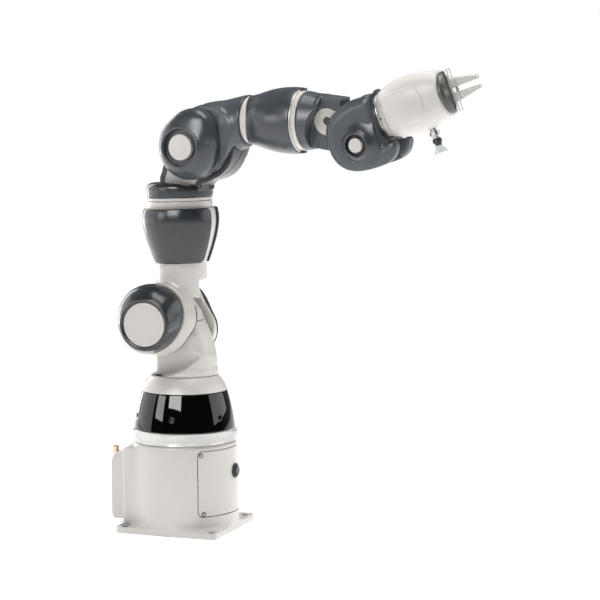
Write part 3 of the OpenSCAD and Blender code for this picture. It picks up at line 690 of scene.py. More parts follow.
# Dark discs under the cover screws stand in for their shaded pockets: painted shade.
screws("cover_screw_pocket_shade", BASE, "dark_trim", [], cover_screw_places, 3.5, 0.5)


def panel_shape(x, y, z):
    side = outline(x, z, [(-76, 18), (-92, 18), (-95, 23), (-95, 102), (-91.5, 111), (-76, 120)], 2.0)
    body = smax(side, np.abs(y) - 55, 4)
    rim = smax(disc(np.abs(y), z, 24, 74, 11.4), x + 94, 0.6)
    rim = np.minimum(rim, smax(disc(y, z, 0, 42, 13.4), x + 94, 0.6))
    return smax(body, -rim, 0.8)


shell("rear_connector_panel", BASE, "white_paint", ["connector_panel"], panel_shape,
      (-100, -58, 12), (-72, 58, 126), 1.2)


def socket_profiles(r):
    """A panel socket seen from behind: flange, barrel and contact block."""
    return [
        [(r - 1.5, 93.5), (r + 2.6, 93.5), (r + 2.6, 97.8), (r - 1.5, 97.8)],
        [(r - 3.2, 90), (r - 1.2, 90), (r - 1.2, 101.8), (r - 3.2, 101.8)],
        [(0, 90), (r - 4.2, 90), (r - 4.2, 96.5), (0, 96.5)],
    ]


def sockets():
    parts = []
    for r, y, z in ((11, -24, 74), (11, 24, 74), (13, 0, 42)):
        for profile in socket_profiles(r):
            points, faces = turned_mesh([(p, -h) for p, h in profile], "x", (0, y, z), 72, 0.5)
            parts.append((points, faces))
        for k in range(6):
            a = k * math.pi / 3
            pin_y, pin_z = y + 0.42 * r * math.cos(a), z + 0.42 * r * math.sin(a)
            parts.append(turned_mesh([(0, -90), (0.8, -90), (0.8, -99.5), (0, -99.5)], "x",
                                     (0, pin_y, pin_z), 16, 0.3))
    return joined(parts)


points, faces = sockets()
tidy_mesh(add_piece("rear_sockets", BASE, CONNECTOR, "connector", ["panel_connectors"], points, faces))

turned("air_port_fitting", BASE, "brass", ["air_fitting"], [
    [(2.1, 104), (4.0, 104), (4.0, 112), (5.6, 112), (5.6, 116), (4.4, 117), (4.4, 119), (5.2, 120),
     (5.2, 122), (4.0, 123), (2.1, 123)],
], centre=(-95.5, -38, 0), segments=64, radius=0.4)

ring_low, ring_high = 133.3, 150.2
turned("light_ring_lens", BASE, "clear_ring", ["light_ring"], [
    [(75.2, ring_low), (78.0, ring_low), (79.2, 137.5, 3), (79.0, 143.5, 3), (77.4, 148, 2),
     (75.2, ring_high), (73.6, ring_high), (75.2, 144), (75.2, 138)],
], segments=220, radius=0.8)


def lamp_parts():
    """The board behind the ring, which carries a painted warm glow: lamps, light pipes and a silvery backing."""
    parts = [turned_mesh([(66, 132.6), (74.6, 132.6), (74.6, 134.2), (70.5, 136), (69.2, 149.6),
                          (66, 149.6)], "z", (0, 0, 0), 180, 0.6)]
    for k in range(24):
        a = 2 * math.pi * k / 24
        tall = 12 if k % 3 == 0 else 6
        wide = 1.3 if k % 3 == 0 else 2.4
        c, s = math.cos(a), math.sin(a)
        corner = [(dr, dt, h) for h in (134, 134 + tall) for dr, dt in
                  ((69, -wide), (73.2, -wide), (73.2, wide), (69, wide))]
        points = [(r * c - t * s, r * s + t * c, h) for r, t, h in corner]
        parts.append((points, [[3, 2, 1, 0], [4, 5, 6, 7], [0, 1, 5, 4], [1, 2, 6, 5],
                               [2, 3, 7, 6], [3, 0, 4, 7]]))
    return joined(parts)


points, faces = lamp_parts()
lamps = add_piece("light_ring_lamps", BASE, LAMP_PAINTED_GLOW, "bare_metal", ["led_board"], points, faces)
lamps.modifiers.new("edges", "BEVEL").width = 0.0004
tidy_mesh(lamps)

band_low, band_high = 150.8, 206.8


def bowed(w, low, high, r_low, r_high, bow):
    t = np.clip((w - low) / (high - low), 0, 1)
    return r_low + (r_high - r_low) * t + 4 * bow * t * (1 - t)


def band_shape(x, y, z):
    r = np.hypot(x, y)
    wall = bowed(z, band_low, band_high, 75.4, 63.5, 1.5)
    body = smax(np.abs(r - wall + 1.6) * 0.975 - 1.6, slab(z, band_low, band_high), 0.9)
    for k in range(6):
        a = math.radians(-22 + 60 * k)
        across = -x * math.sin(a) + y * math.cos(a)
        facing = x * math.cos(a) + y * math.sin(a)
        hole = np.hypot(across, z - 171.5) - 3.2
        body = smax(body, -smax(hole, -facing, 0.5), 1.2)
    return body


shell("gloss_band", BASE, "gloss_black", ["band_cover"], band_shape,
      (-79, -79, 148), (79, 79, 210), 1.25)

band_screws = []
for k in range(6):
    a = math.radians(-22 + 60 * k)
    r = float(bowed(171.5, band_low, band_high, 75.4, 63.5, 1.5)) - 4.2
    band_screws.append(((r * math.cos(a), r * math.sin(a), 171.5), (math.cos(a), math.sin(a), 0.2)))
screws("band_screws", BASE, "dark_trim", [], band_screws, 2.6, 1.2)

cap_profile = [(float(bowed(z, 207.4, seam_z - 0.4, 63.6, 49.6, 1.9)), z, 0.1)
               for z in np.linspace(207.4, seam_z - 1.6, 12)]
turned("shoulder_cone", BASE, "white_paint", ["shoulder_cap"], [
    [(59, 207.4), *cap_profile, (49.3, seam_z - 0.4, 1.0), (44, seam_z - 0.4), (44, seam_z - 4)],
], segments=200, radius=0.8)

button_z = 89.4
turned("button_bezel", BASE, "dark_trim", ["button_switch"], [
    [(8.2, 70), (10.8, 70), (10.8, 81.6, 1.0), (9.6, 82.4, 0.6), (8.2, 82.0)],
], axis="x", centre=(0, 0, button_z), segments=96, radius=0.5)
turned("brake_release_button", BUTTON, "dark_trim", ["brake_button"], [
    [(0, 72), (7.8, 72), (7.8, 83.9, 1.0), (6.8, 84.8, 0.8), (4.5, 84.5, 1.5), (0, 84.1)],
], axis="x", centre=(0, 0, button_z), segments=96, radius=0.5)

# ---------- shoulder, drawn about the shoulder bend axis ----------

foot_low = seam_z - shoulder_z + 0.5
tongue1_y = 24.6
fork_clear_r = 84.0


SHOULDER_FACE = [(-6, -44), (20, 30), (37, 22), (45, 12), (51, -2), (56, -12), (61, -22), (64, -33),
                 (68.6, -46), (74, -62), (74, -86), (-5, -86)]


def tongue1_shape(x, y, z, grow=0.0):
    """The tongue between the ears, with a round nose."""
    side = np.minimum(np.hypot(x, z) - 46.3, outline(x, z, SHOULDER_FACE, 2.6)) - grow
    nose = np.clip((x - 20) / 30, 0.12, 1) * np.where(y < 0, 1.0, 0.08)
    return smax(side, np.abs(y) - tongue1_y - grow, 24 * nose)


def shoulder_shape(x, y, z):
    reach = np.hypot(x, z)
    tongue = tongue1_shape(x, y, z)
    clear = smax(reach - fork_clear_r, tongue1_y - np.abs(y), 2.0)
    column = smax(disc(x, y, column_x + 4.2, 0, 42.2), z + 46 + 0.25 * (x - 60), 8)
    column = smax(column, -clear, 3.5)
    swell = disc(x, y, column_x, 0, 49.2)
    flange = smax(swell, z - foot_low - 9 + 0.10 * np.abs(x - column_x - 30), 5)
    flange = smax(flange, -smax(reach - fork_clear_r, tongue1_y - np.abs(y), 1.0), 1.0)
    tongue = smax(tongue, disc(x, y, column_x + 4, 0, 45.0), 2.0)
    body = smin(smin(tongue, column, 3), flange, 7)
    return smax(body, foot_low - z, 1.0)


shell("shoulder_body", SHOULDER, "white_paint", ["shoulder_casting"], shoulder_shape,
      (-50, -52, -85), (84, 52, 52), 1.25)


def wrap_cover_shape(x, y, z):
    """The service cover on the front of the tongue, folded round onto its side."""
    skin = smax(tongue1_shape(x, y, z, 0.45), -tongue1_shape(x, y, z, -1.2), 0.4)
    skin = smax(skin, -(np.hypot(x, z) - 47.5 + 2.5 * (y > 0)), 0.8)
    edge = smax(slab(z, -63, -2.6), 14 - x, 5)
    edge = smax(edge, y - 17, 3)
    body = smax(skin, edge, 0.7)
    return smax(body, disc(x, y, column_x + 4, 0, 45.4), 1.0)


shell("shoulder_service_cover", SHOULDER, "white_cover", ["shoulder_cover"], wrap_cover_shape,
      (0, -30, -72), (84, 28, 4), 1.0)


def cover_seam_shape(x, y, z):
    skin = smax(tongue1_shape(x, y, z, 0.25), -tongue1_shape(x, y, z, -1.0), 0.2)
    return smax(smax(skin, slab(z, -2.9, -1.7), 0.2), smax(40 - x, y - 18, 0.2), 0.2)


shell("shoulder_cover_seam", SHOULDER, "dark_trim", [], cover_seam_shape, (36, -28, -5), (60, 24, 1), 0.5)
screws("shoulder_cover_screws", SHOULDER, "steel", ["shoulder_screws"],
       [((54.6, -6.0, -8.8), (0.85, -0.25, 0.4))], 2.4, 0.6)

# ---------- upper arm, drawn about the shoulder bend axis ----------

ear1_y = 27.0
cap1_y = 40.0
disc1_y = 79.0
pad_low, pad_high = swivel_z - 90.0, swivel_z - 9.0
pad_curve = curve([(swivel_z + h, r) for h, r in (
    (-90, 39.5), (-78, 44.0), (-58, 50.8), (-40, 55.0), (-26, 56.4), (-16, 55.8), (-9, 54.0))], 4)
FRONT, REAR = -1, 1


def ear_inner(x, z, side):
    if side == FRONT:
        return round_cone((x, z), (0, -1), 53.0, (27, 6), 36.0)
    return round_cone((x, z), (-1, 0), 53.0, (29, -15), 38.0)


def ear_outer(x, z, side):
    """Seam between an ear and its cover."""
    if side == FRONT:
        return smax(disc(x, z, -2, 1, 54.0), disc(x, z, -22, 18, 70.5), 8)
    return round_cone((x, z), (-2, 1), 53.5, (29, -20), 37.0)


def upper_shape(x, y, z):
    ears = []
    for side in (FRONT, REAR):
        w = y * side
        t = np.clip((w - ear1_y) / (cap1_y - ear1_y), 0, 1) ** 1.3
        edge = mix(ear_inner(x, z, side), ear_outer(x, z, side), t)
        ears.append(smax(edge * 0.92, slab(w, ear1_y - 6, cap1_y - 0.3), 1.4))
    ears = np.minimum(*ears)
    r = disc(x, y, column_x, 0, 0)
    wall = np.maximum(pad_curve(np.clip(z, pad_low, pad_high)) - 3.9, 36.0)
    neck = smax((r - wall) * 0.93, slab(z, 30, swivel_z - 8.4), 4)
    step = smax(55.5 - x - 0.45 * np.maximum(y, -22), z - 57, 3.0)
    body = smin(ears, smax(neck, -step, 2.5), 13)
    slot = smax(np.hypot(x, z) - 49.3, np.abs(y) - ear1_y, 1.0)
    under = outline(x, z, [(-90, 60), (-90, -90), (90, -90), (90, 23), (61, 31.5), (40, 40.5), (20, 47),
                           (-20, 48), (-12, 60)], 0.0)
    slot = np.minimum(slot, smax(np.abs(y) - ear1_y, under, 1.0))
    body = smax(body, -slot, 1.8)
    body = smax(body, np.abs(y) - cap1_y + 0.3 - 20 * (z > 62), 1.2)
    return body


shell("upper_arm_body", UPPER, "white_paint", ["upper_casting"], upper_shape,
      (-62, -58, -62), (94, 58, swivel_z - 4), 1.35)


def dome_shape(edge, tip, side, y0, y1, bend, lift, rim_r, bowl_r, bowl_deep):
    """A cover that narrows from an edge outline to a round rim with a sunk middle."""
    def shape(x, y, z):
        w = y * side
        t = np.clip((w - y0) / (y1 - y0), 0, 1)
        ring = np.hypot(x - tip[0], z - tip[1])
        high = np.clip((z - 0.2 * rim_r) / 36, 0, 1)
        d = mix(edge(x, z), ring - rim_r, t ** (bend + lift * high)) * 0.85
        d = smax(d, slab(w, y0 - 6, y1), 3.0)
        lip = np.hypot(ring - (rim_r + bowl_r) / 2, w - y1 + 1.6) - (rim_r - bowl_r) / 2
        d = smin(d, lip, 1.6)
        bowl = smax(ring - bowl_r, y1 - bowl_deep - w, 0.8)
        d = smax(d, -bowl, 1.2)
        return smax(d, y0 - w, 1.0)
    return shape


def gap_shade_shape(x, y, z):
    """Painted shade: a dark sheet in the gap between the ears and the tongue."""
    ear = smax(ear_inner(x, z, FRONT) + 0.5, slab(-y, tongue1_y + 0.85, ear1_y + 1.5), 0.3)
    return smax(smax(ear, z - 36, 1.0), 40 - np.hypot(x, z), 0.5)


shell("upper_arm_painted_gap_shade", UPPER, "dark_trim", [], gap_shade_shape,
      (-58, -31, -58), (68, 31, 40), 0.9)

for side, name, node in ((FRONT, "upper_arm_front_cover", "upper_front_cap"),
                         (REAR, "upper_arm_rear_cover", "upper_rear_cap")):
    cover = dome_shape(lambda x, z, s=side: ear_outer(x, z, s) - 0.4 * s, (0, -2), side,
                       cap1_y + 0.35, disc1_y - 0.8, 1.75, 0.9, 38.8, 32.5, 3.6)
    low = (-60, min(side * 38, side * 82), -62)
    high = (72, max(side * 38, side * 82), 60)
    shell(name, UPPER, "slate_cover", [node], cover, low, high, 1.3, SLATE_SHADED)

turned("upper_arm_discs", UPPER, "white_cover", ["upper_discs"], [
    [(0, s * (disc1_y - 6)), (32.2, s * (disc1_y - 6)), (32.2, s * (disc1_y - 0.6), 0.9),
     (0, s * (disc1_y - 0.2))] for s in (FRONT, REAR)
], axis="y", centre=(0, 0, -2), segments=160, radius=0.6)


def pad_shape(side):
    middle = (pad_low + pad_high) / 2
    half = (pad_high - pad_low) / 2

    def shape(x, y, z):
        u = x - column_x
        r = np.hypot(u, y)
        mid = pad_curve(z) - 1.7
        wall = (np.abs(r - mid)) * 0.94 - 1.7
        around = np.arctan2(u, side * y)
        arc = around * 50
        patch = rounded_box(arc, z - middle, 50 * math.radians(77.0), half, 8)
        field = rounded_box(arc, z - middle + 8.5, 50 * math.radians(63.0), half - 16.5, 12)
        wall = wall + 0.55 * (1 - np.clip(field / 10 + 0.5, 0, 1)) * (r > mid)
        return smax(wall, patch, 2.0)
    return shape


for side, name, node in ((FRONT, "upper_arm_front_pad", "upper_front_pad"),
                         (REAR, "upper_arm_rear_pad", "upper_rear_pad")):
    low = (column_x - 60, min(0, side * 60) - 14, pad_low - 4)
    high = (column_x + 60, max(0, side * 60) + 14, pad_high + 4)
    shell(name, UPPER, "slate_cover", [node], pad_shape(side), low, high, 1.25, SLATE_SHADED)

turned("upper_arm_ring", UPPER_TOP, "white_paint", ["upper_ring"], [
    [(38, -10.4), (46.9, -10.4), (47.4, -5), (47.2, 1.0), (38, 1.0)],
], segments=180, radius=0.8)

# ---------- elbow swivel, drawn about the upper-arm axis ----------

ex, ez = elbow_in_swivel[0], elbow_in_swivel[2]
tongue3_y = 21.6


def swivel_outline(x, z, inset):
    round_end = disc(x, z, ex, ez, 46.4 - inset)
    tail = round_cone((x, z), (ex + 3, ez), 46.4 - inset, (ex + 12, ez + 1), 49.0 - inset)
    flare = outline(x, z, [(-19, 14), (-19, 36), (-15.5, 44), (-13, 52), (-4, 64), (20, 80), (60, 50),
                           (56, 36), (44, 24), (44, 14)], 2.0 - inset)
    return smin(np.minimum(round_end, tail), flare, 6)


def swivel_body_shape(x, y, z):
    tongue = smax(swivel_outline(x, z, 6.0), np.abs(y) - tongue3_y + 0.4, 1.6)
    tongue = smax(tongue, 12 - z, 1.0)
    core = smax(np.hypot(x, y) - 38.0, slab(z, 1.9, 17.0), 1.0)
    return smin(tongue, core, 1.5)


shell("elbow_swivel_body", SWIVEL, "white_paint", ["swivel_casting"], swivel_body_shape,
      (-48, -48, 0), (94, 48, ez + 50), 1.3)
turned("elbow_swivel_foot", SWIVEL, "white_paint", [], [
    [(38, 1.7), (46.9, 1.7), (47.1, 6.2), (38, 6.2)],
], segments=180, radius=0.7)


def strap_shape(x, y, z, inner, outer, half):
    band = smax(swivel_outline(x, z, outer), np.abs(y) - half, 1.2)
    band = smax(band, -swivel_outline(x, z, inner), 0.6)
    return smax(band, 19 - z, 1.0)


def collar_shape(x, y, z):
    r = np.hypot(x, y)
    wall = 48.0 + 0.9 * np.sin(np.clip((z - 6.7) / 22, 0, 1) * math.pi)
    body = rounded_box(r - wall + 8.5, z - 8.0, 8.5, 20.6, 8.2)
    body = smax(body, 6.8 - z, 1.2)
    scoop = smax(np.hypot(x - ex, z - ez) - 56.5, tongue3_y - np.abs(y), 2.0)
    body = smax(body, -scoop, 5)
    body = smin(body, strap_shape(x, y, z, 1.6, 0.0, tongue3_y), 5)
    # the split beside the strap, where the two collar halves meet
    split = smax(np.abs(y + 17 + 0.55 * (28 - z)) - 0.5, 20 - x, 0.3)
    split = smax(split, wall - 2.2 - r, 0.3)
    return smax(body, -split, 0.5)


def strap_side_shape(x, y, z):
    return strap_shape(x, y, z, 8.6, 1.2, tongue3_y + 0.25)


shell("elbow_swivel_collar", SWIVEL, "dark_trim", ["swivel_collar"], collar_shape,
      (-54, -54, 4), (108, 54, ez + 54), 1.3, SLATE_SHADED)
shell("elbow_swivel_strap", SWIVEL, "dark_trim", ["swivel_strap"], strap_side_shape,
      (-30, -26, 14), (108, 26, ez + 54), 1.2)

# ---------- elbow and forearm, drawn about the elbow bend axis ----------

ear3_y = 23.0
cap3_y = 36.0
disc3_y = 69.0
web3_r = 62.6


def elbow_edge(x, z):
    egg = round_cone((x, z), (-1, 0), 46.6, (10, 16), 41.6)
    return smax(egg, disc(x, z, -30, 8, 77.5), 8)


def elbow_shape(x, y, z):
    cone = round_cone((x, y, z), (17, 0, 23), 40.0, (76, 0, forearm_z), 35.8)
    ears = smin(round_cone((x, z), (0, 0), 46.6, (23, 5), 35.5),
                round_cone((x, z), (2, 11), 44.0, (22, 22), 40.5), 4)
    ears = smax(ears, np.abs(y) - cap3_y + 0.3, 3.5)
    body = smin(cone, ears, 12)
    body = smax(body, np.abs(y) - cap3_y + 0.3 - 30 * (x > 46), 2.0)
    slot = smax(np.hypot(x, z) - web3_r, np.abs(y) - ear3_y, 1.2)
    slot = np.minimum(slot, smax(np.abs(y) - ear3_y, outline(x, z, [
        (-90, 58), (-12, 58), (0, 20), (56, 2), (62, -90), (-90, -90)], 0.0), 1.2))
    body = smax(body, -slot, 2.0)
    return smax(body, x - 75.6, 1.4)


shell("elbow_body", ELBOW, "slate_metal", ["elbow_casting"], elbow_shape,
      (-52, -46, -52), (80, 46, 84), 1.3)

for side, name, node in ((FRONT, "elbow_front_cover", "elbow_front_cap"),
                         (REAR, "elbow_rear_cover", "elbow_rear_cap")):
    cover = dome_shape(lambda x, z: elbow_edge(x, z) + 0.3, (-2, 1), side, cap3_y + 0.3,
                       disc3_y - 1.0, 2.2, 2.6, 31.0, 26.4, 7.5)
    low = (-52, min(side * 34, side * 72), -52)
    high = (60, max(side * 34, side * 72), 64)
    shell(name, ELBOW, "slate_cover", [node], cover, low, high, 1.25)

turned("elbow_discs", ELBOW, "white_cover", ["elbow_discs"], [
    [(0, s * 60), (18.6, s * 60), (18.6, s * (disc3_y - 0.6), 1.0), (0, s * disc3_y)]
    for s in (FRONT, REAR)
], axis="y", centre=(-1, 0, 1.5), segments=128, radius=0.6)

forearm_curve = curve([(80.4, 35.3), (89, 36.6), (98, 38.9), (106, 41.4), (114, 43.8), (123, 45.4),
                       (131, 46.6), (142, 47.4), (152, 47.5), (160.6, 46.8)], 5)
barrel = [(float(forearm_curve(x)), float(x), 0.1) for x in np.linspace(81.4, 159.6, 26)]
along_forearm = dict(axis="x", centre=(0, 0, forearm_z))
barrel_points, barrel_faces = turned_mesh(
    [(32.6, 80.6), (34.6, 80.6, 1.0), *barrel, (46.3, 160.9, 1.0), (43.6, 160.9, 0.6), (43.6, 155),
     (42.0, 132), (34, 104)], "x", along_forearm["centre"], 220, 0.6)
# the small end is cut back on both sides, where more of the white ring shows
facing = np.abs(barrel_points[:, 1]) / np.hypot(barrel_points[:, 1], barrel_points[:, 2] - forearm_z)
barrel_points[:, 0] += 7.0 * facing**2 * np.clip((104 - barrel_points[:, 0]) / 24, 0, 1)
tidy_mesh(add_piece("forearm_barrel", ELBOW, SLATE, "slate_cover", ["forearm_casting"],
                    barrel_points, barrel_faces))
turned("forearm_neck_rim", ELBOW, "dark_trim", [], [
    [(30, 75.7), (36.0, 75.7, 0.8), (35.2, 77.4, 0.8), (30, 77.4)],
], segments=160, radius=0.5, **along_forearm)
turned("forearm_neck_ring", ELBOW, "white_cover", ["neck_ring"], [
    [(28, 77), (33.9, 77), (33.9, 91), (28, 91)],
], segments=160, radius=0.5, **along_forearm)
turned("forearm_end_seal", ELBOW, "dark_trim", [], [
    [(40, 156), (43.8, 156), (43.8, 160.2), (40, 160.2)],
    [(40, 160.6), (42.9, 160.6), (42.9, 161.6), (40, 161.6)],
], segments=160, radius=0.3, **along_forearm)
turned("forearm_wrist_ring", ELBOW, "white_cover", ["wrist_ring"], [
    [(34.5, 160), (42.3, 160), (42.4, 168.9, 1.2), (34.5, 168.9)],
], segments=180, radius=0.8, **along_forearm)


def on_forearm(degrees, x):
    a = math.radians(degrees)
    r = float(forearm_curve(x)) - 0.35
    slant = float(forearm_curve(x + 1) - forearm_curve(x - 1)) / 2
    return ((x, -r * math.cos(a), forearm_z + r * math.sin(a)), (-slant, -math.cos(a), math.sin(a)))


screws("forearm_screws", ELBOW, "dark_trim", [],
       [on_forearm(s, x) for s, x in ((52, 148), (128, 148), (-52, 148), (232, 148))], 3.6, 0.55)


def clip_shape(x, y, z):
    """Small catches that hold the wrist ring, at the top and bottom."""
    v = np.abs(z - forearm_z)
    clip = smax(rounded_box(x - 162.4, y, 3.4, 5.5, 1.0), slab(v, 38, 46.2), 0.8)
    notch = smax(rounded_box(x - 164.0, y, 1.0, 3.6, 0.6), 45.0 - v, 0.3)
    return smax(clip, -notch, 0.5)


shell("forearm_ring_clips", ELBOW, "dark_trim", [], clip_shape,
      (156, -8, forearm_z - 50), (168, 8, forearm_z + 50), 0.6)
turned("forearm_end_rim", ELBOW, "bare_metal", [], [
    [(42.6, 160.2), (45.2, 160.2), (45.2, 162.0, 0.6), (42.6, 162.0)],
], segments=160, radius=0.3, **along_forearm)

# ---------- wrist, drawn about the forearm axis ----------

hx, hz = hand_in_wrist[0], hand_in_wrist[2]
tongue5_y = 15.8


def wrist_outline(x, z):
    arm = outline(x, z, [(10.5, -34), (10.5, 35.5), (27, 35.8), (64.3, 31.6), (64.3, 21.2), (83, -1.8),
                         (98, -8), (82, -47.4), (60, -41.6)], 1.2)
    return np.minimum(arm, disc(x, z, hx, hz, 29.2))


def wrist_shape(x, y, z):
    r = np.hypot(y, z)
    wall = 42.0 - 3.8 * np.clip((x - 8) / 19, 0, 1)
    collar = smax((r - wall) * 0.97, slab(x, 5, 34), 2.4)
    sweep = smax(np.hypot(x - hx, z - hz) - 84, tongue5_y - np.abs(y), 2.0)
    collar = smax(collar, -sweep, 2.0)
    tongue = smax(wrist_outline(x, z), np.abs(y) - tongue5_y, 2.2)
    body = smin(collar, tongue, 2.5)
    seam = smax(np.abs(x - 27.6) - 0.35, 28 - np.abs(z), 0.2)
    body = smax(body, -smax(seam, 14.9 - np.abs(y) - 40 * (np.abs(z) > 30), 0.2), 0.4)
    return smax(body, 5.0 - x, 1.2)


shell("wrist_body", WRIST, "slate_metal", ["wrist_casting"], wrist_shape,
      (2, -46, -60), (134, 46, 46), 1.15)


def oblong_edge(inset):
    """Hull of two round ends, walked counter-clockwise."""
    (ax, az), (bx, bz) = (42.0, 1.0), (hx - 13.0, hz + 10.0)
    r = 19.0 - inset
    direction = math.atan2(bz - az, bx - ax)
    out = []
    for a in np.linspace(direction + math.pi / 2, direction + 1.5 * math.pi, 30):
        out.append((ax + r * math.cos(a), az + r * math.sin(a)))
    for a in np.linspace(direction - math.pi / 2, direction + math.pi / 2, 30):
        out.append((bx + r * math.cos(a), bz + r * math.sin(a)))
    return out


def wrist_plate_parts():
    front = plate_mesh(oblong_edge, on_front_face(-tongue5_y - 1.1), 1.6, 0.4, 3)
    points = front[0] * np.array([1, -1, 1])
    return joined([front, (points, [f[::-1] for f in front[1]])])


points, faces = wrist_plate_parts()
tidy_mesh(add_piece("wrist_side_plates", WRIST, WHITE_PLASTIC, "white_cover", ["wrist_plates"],
                    points, faces))
turned("wrist_plate_plugs", WRIST, "dark_trim", [], [
    [(0, s * 14), (6.0, s * 14), (6.0, s * 17.2), (5.0, s * 17.3, 0.3), (0, s * 16.98)]
    for s in (FRONT, REAR)
], axis="y", centre=(43, 0, 2), segments=64, radius=0.3)


def wrist_strap_shape(x, y, z):
    u, v = x - hx, z - hz
    ring = np.abs(np.hypot(u, v) - 29.4) - 0.9
    ahead = outline(u, v, [(-6, -40), (60, -40), (60, 40), (0, 40), (0, 0)], 0.0)
    return smax(smax(ring, np.abs(y) - 9.5, 0.6), ahead, 0.6)


shell("wrist_belt_cover", WRIST, "dark_trim", ["wrist_strap"], wrist_strap_shape,
      (hx - 12, -12, hz - 33), (hx + 33, 12, hz + 33), 0.8)

# ---------- hand, drawn about the wrist bend axis ----------

ear5_y = 18.3
disc5_y = 49.4
hand_end = 34.4
HAND_EDGE = smooth_loop([(20, 52.5), (6, 53), (-8, 50), (-20, 46), (-31, 40), (-37, 32),
                         (-41, 22), (-42.5, 10), (-41.5, -3), (-37, -14), (-28.5, -22.5), (-16, -28),
                         (0, -30.5), (16, -31), (28, -30), (36.5, -26), (41.5, -19.5), (42, -17),
                         (34, -16), (27, -14), (26.6, 10), (27, 34), (27.6, 52)])


def hand_shape(x, y, z):
    ay = np.abs(y)
    edge = outline(x, z, HAND_EDGE, 6.5)
    ears = smax(edge, slab(ay, ear5_y - 4, 37), 15)
    inner = smax(edge, slab(ay, ear5_y - 4, 31), 4)
    ears = smin(ears, inner, 6)
    bridge = smax(outline(x, z, [(12, 40), (12, 55), (29.5, 57), (29.5, -6.5), (28, -6.5)], 4.0), ay - 24, 2)
    body = smin(ears, bridge, 3)
    slot = smax(np.hypot(x, z) - 31.2, ay - ear5_y, 1.2)
    slot = np.minimum(slot, smax(ay - ear5_y, outline(x, z, [
        (-90, 90), (9.5, 90), (8.6, 58), (6.8, 34.6), (10, 27), (30, 0), (30, -90), (-90, -90)], 0.0), 1.2))
    body = smax(body, -slot, 1.6)
    above_lip = smax(hand_end - x, -12.2 - z, 0.8)
    return smax(body, -above_lip, 1.2)


shell("hand_body", HAND, "slate_metal", ["hand_casting"], hand_shape,
      (-54, -46, -42), (54, 46, 68), 1.1)


def hand_cap_shape(x, y, z):
    w = np.abs(y)
    ring = np.hypot(x + 1, z)
    t = np.clip((w - 34.5) / 14, 0, 1)
    dome = (disc(x, z, 2 - 3 * t, -1 + t, 0) - 18.5 - 18.0 * (1 - t) ** 2.2) * 0.7
    dome = smax(dome, slab(w, 33.0, disc5_y - 0.4), 2.5)
    bowl = smax(ring - 15.0, disc5_y - 12.0 - w, 1.0)
    dome = smax(dome, -bowl, 2.0)
    return smax(dome, outline(x, z, HAND_EDGE, 3.0), 3.0)


shell("hand_side_covers", HAND, "slate_cover", ["hand_caps"], hand_cap_shape,
      (-42, -52, -40), (40, 52, 42), 1.1)
turned("hand_discs", HAND, "white_cover", ["hand_discs"], [
    [(0, s * 37), (10.1, s * 37), (10.1, s * (disc5_y - 0.4), 1.0), (0, s * disc5_y)]
    for s in (FRONT, REAR)
], axis="y", centre=(-1, 0, 0), segments=96, radius=0.6)
turned("hand_flange_seal", HAND, "dark_trim", ["flange_seal"], [
    [(24, hand_end), (37.2, hand_end), (37.6, hand_end + 1.3), (24, hand_end + 1.3)],
], axis="x", centre=(0, 0, tool_in_hand[2]), segments=140, radius=0.4)

# ---------- gripper, drawn about the tool axis ----------

turned("tool_flange_disc", TOOL, "bare_metal", ["tool_flange"], [
    [(0, 6.0), (30.6, 6.2), (31.4, 7.0, 0.5), (31.4, 8.6, 0.5), (29, 9.4), (0, 9.4)],
], axis="x", segments=140, radius=0.5)

grip_len = 105.0
grip_curve = curve([(8, 31.0), (14, 33.4), (22, 36.4), (30, 39.2), (38, 41.0), (48, 41.5), (60, 41.0),
                    (72, 39.8), (84, 37.6), (95, 34.8), (105, 31.8)], 5)


def gripper_shape(x, y, z):
    power = 2.5
    u, v = np.abs(y) / 0.93, np.abs(z)
    r = (u**power + v**power) ** (1 / power)
    body = smax((r - grip_curve(x)) * 0.93, slab(x, 8.9, grip_len), 3.5)
    seam = smax(np.abs(x - 17.5 + 0.05 * z) - 0.3, grip_curve(x) - 1.2 - r, 0.2)
    body = smax(body, -seam, 0.4)
    pad = rounded_box(x - 47, z - 0.5, 34, 24, 17)
    raised = smax(pad, smax((r - grip_curve(x) - 0.9) * 0.93, 24 - np.abs(y), 0.5), 1.5)
    raised = smax(raised, 20 - x, 1.5)
    body = smin(body, raised, 0.8)
    hole = smax(disc(x, y, 68, 0, 6.0), z + 30, 0.4)
    return smax(body, -hole, 0.8)


shell("gripper_body", TOOL, "white_cover", ["gripper_shell"], gripper_shape,
      (6, -46, -46), (108, 46, 46), 1.1)


def on_gripper(x, z, sign=-1):
    y = 0.93 * (max(float(grip_curve(x)) ** 2.5 - abs(z) ** 2.5, 1)) ** 0.4
    return ((x, sign * (y - 0.1), z), (-0.15, sign, 0.02 * z))


screws("gripper_screws", TOOL, "dark_trim", [],
       [on_gripper(x, z, s) for s in (-1, 1) for x, z in ((21.5, 15), (12.2, -4), (21.5, -15))], 1.7, 0.5)


def rail_parts():
    plate = turned_mesh([(0, grip_len - 6), (29.4, grip_len - 6), (29.6, 108.0, 1.0), (26, 112.4, 1.5),
                         (0, 113.2)], "x", (0, 0, 0), 120, 0.6)
    return plate


points, faces = rail_parts()
tidy_mesh(add_piece("gripper_front_plate", TOOL, FRONT_GREY, "dark_trim", ["finger_rail"], points, faces))


def rail_shape(x, y, z):
    rail = smax(rounded_box(y, z, 6.6, 30.5, 1.0), slab(x, 113.0, 117.0), 0.6)
    grooves = smax(np.abs(np.abs(y) - 4.4) - 0.7, 116.2 - x, 0.3)
    return smax(rail, -grooves, 0.4)


shell("gripper_slide_rail", TOOL, "bare_metal", [], rail_shape, (111, -9, -33), (119, 9, 33), 0.6)

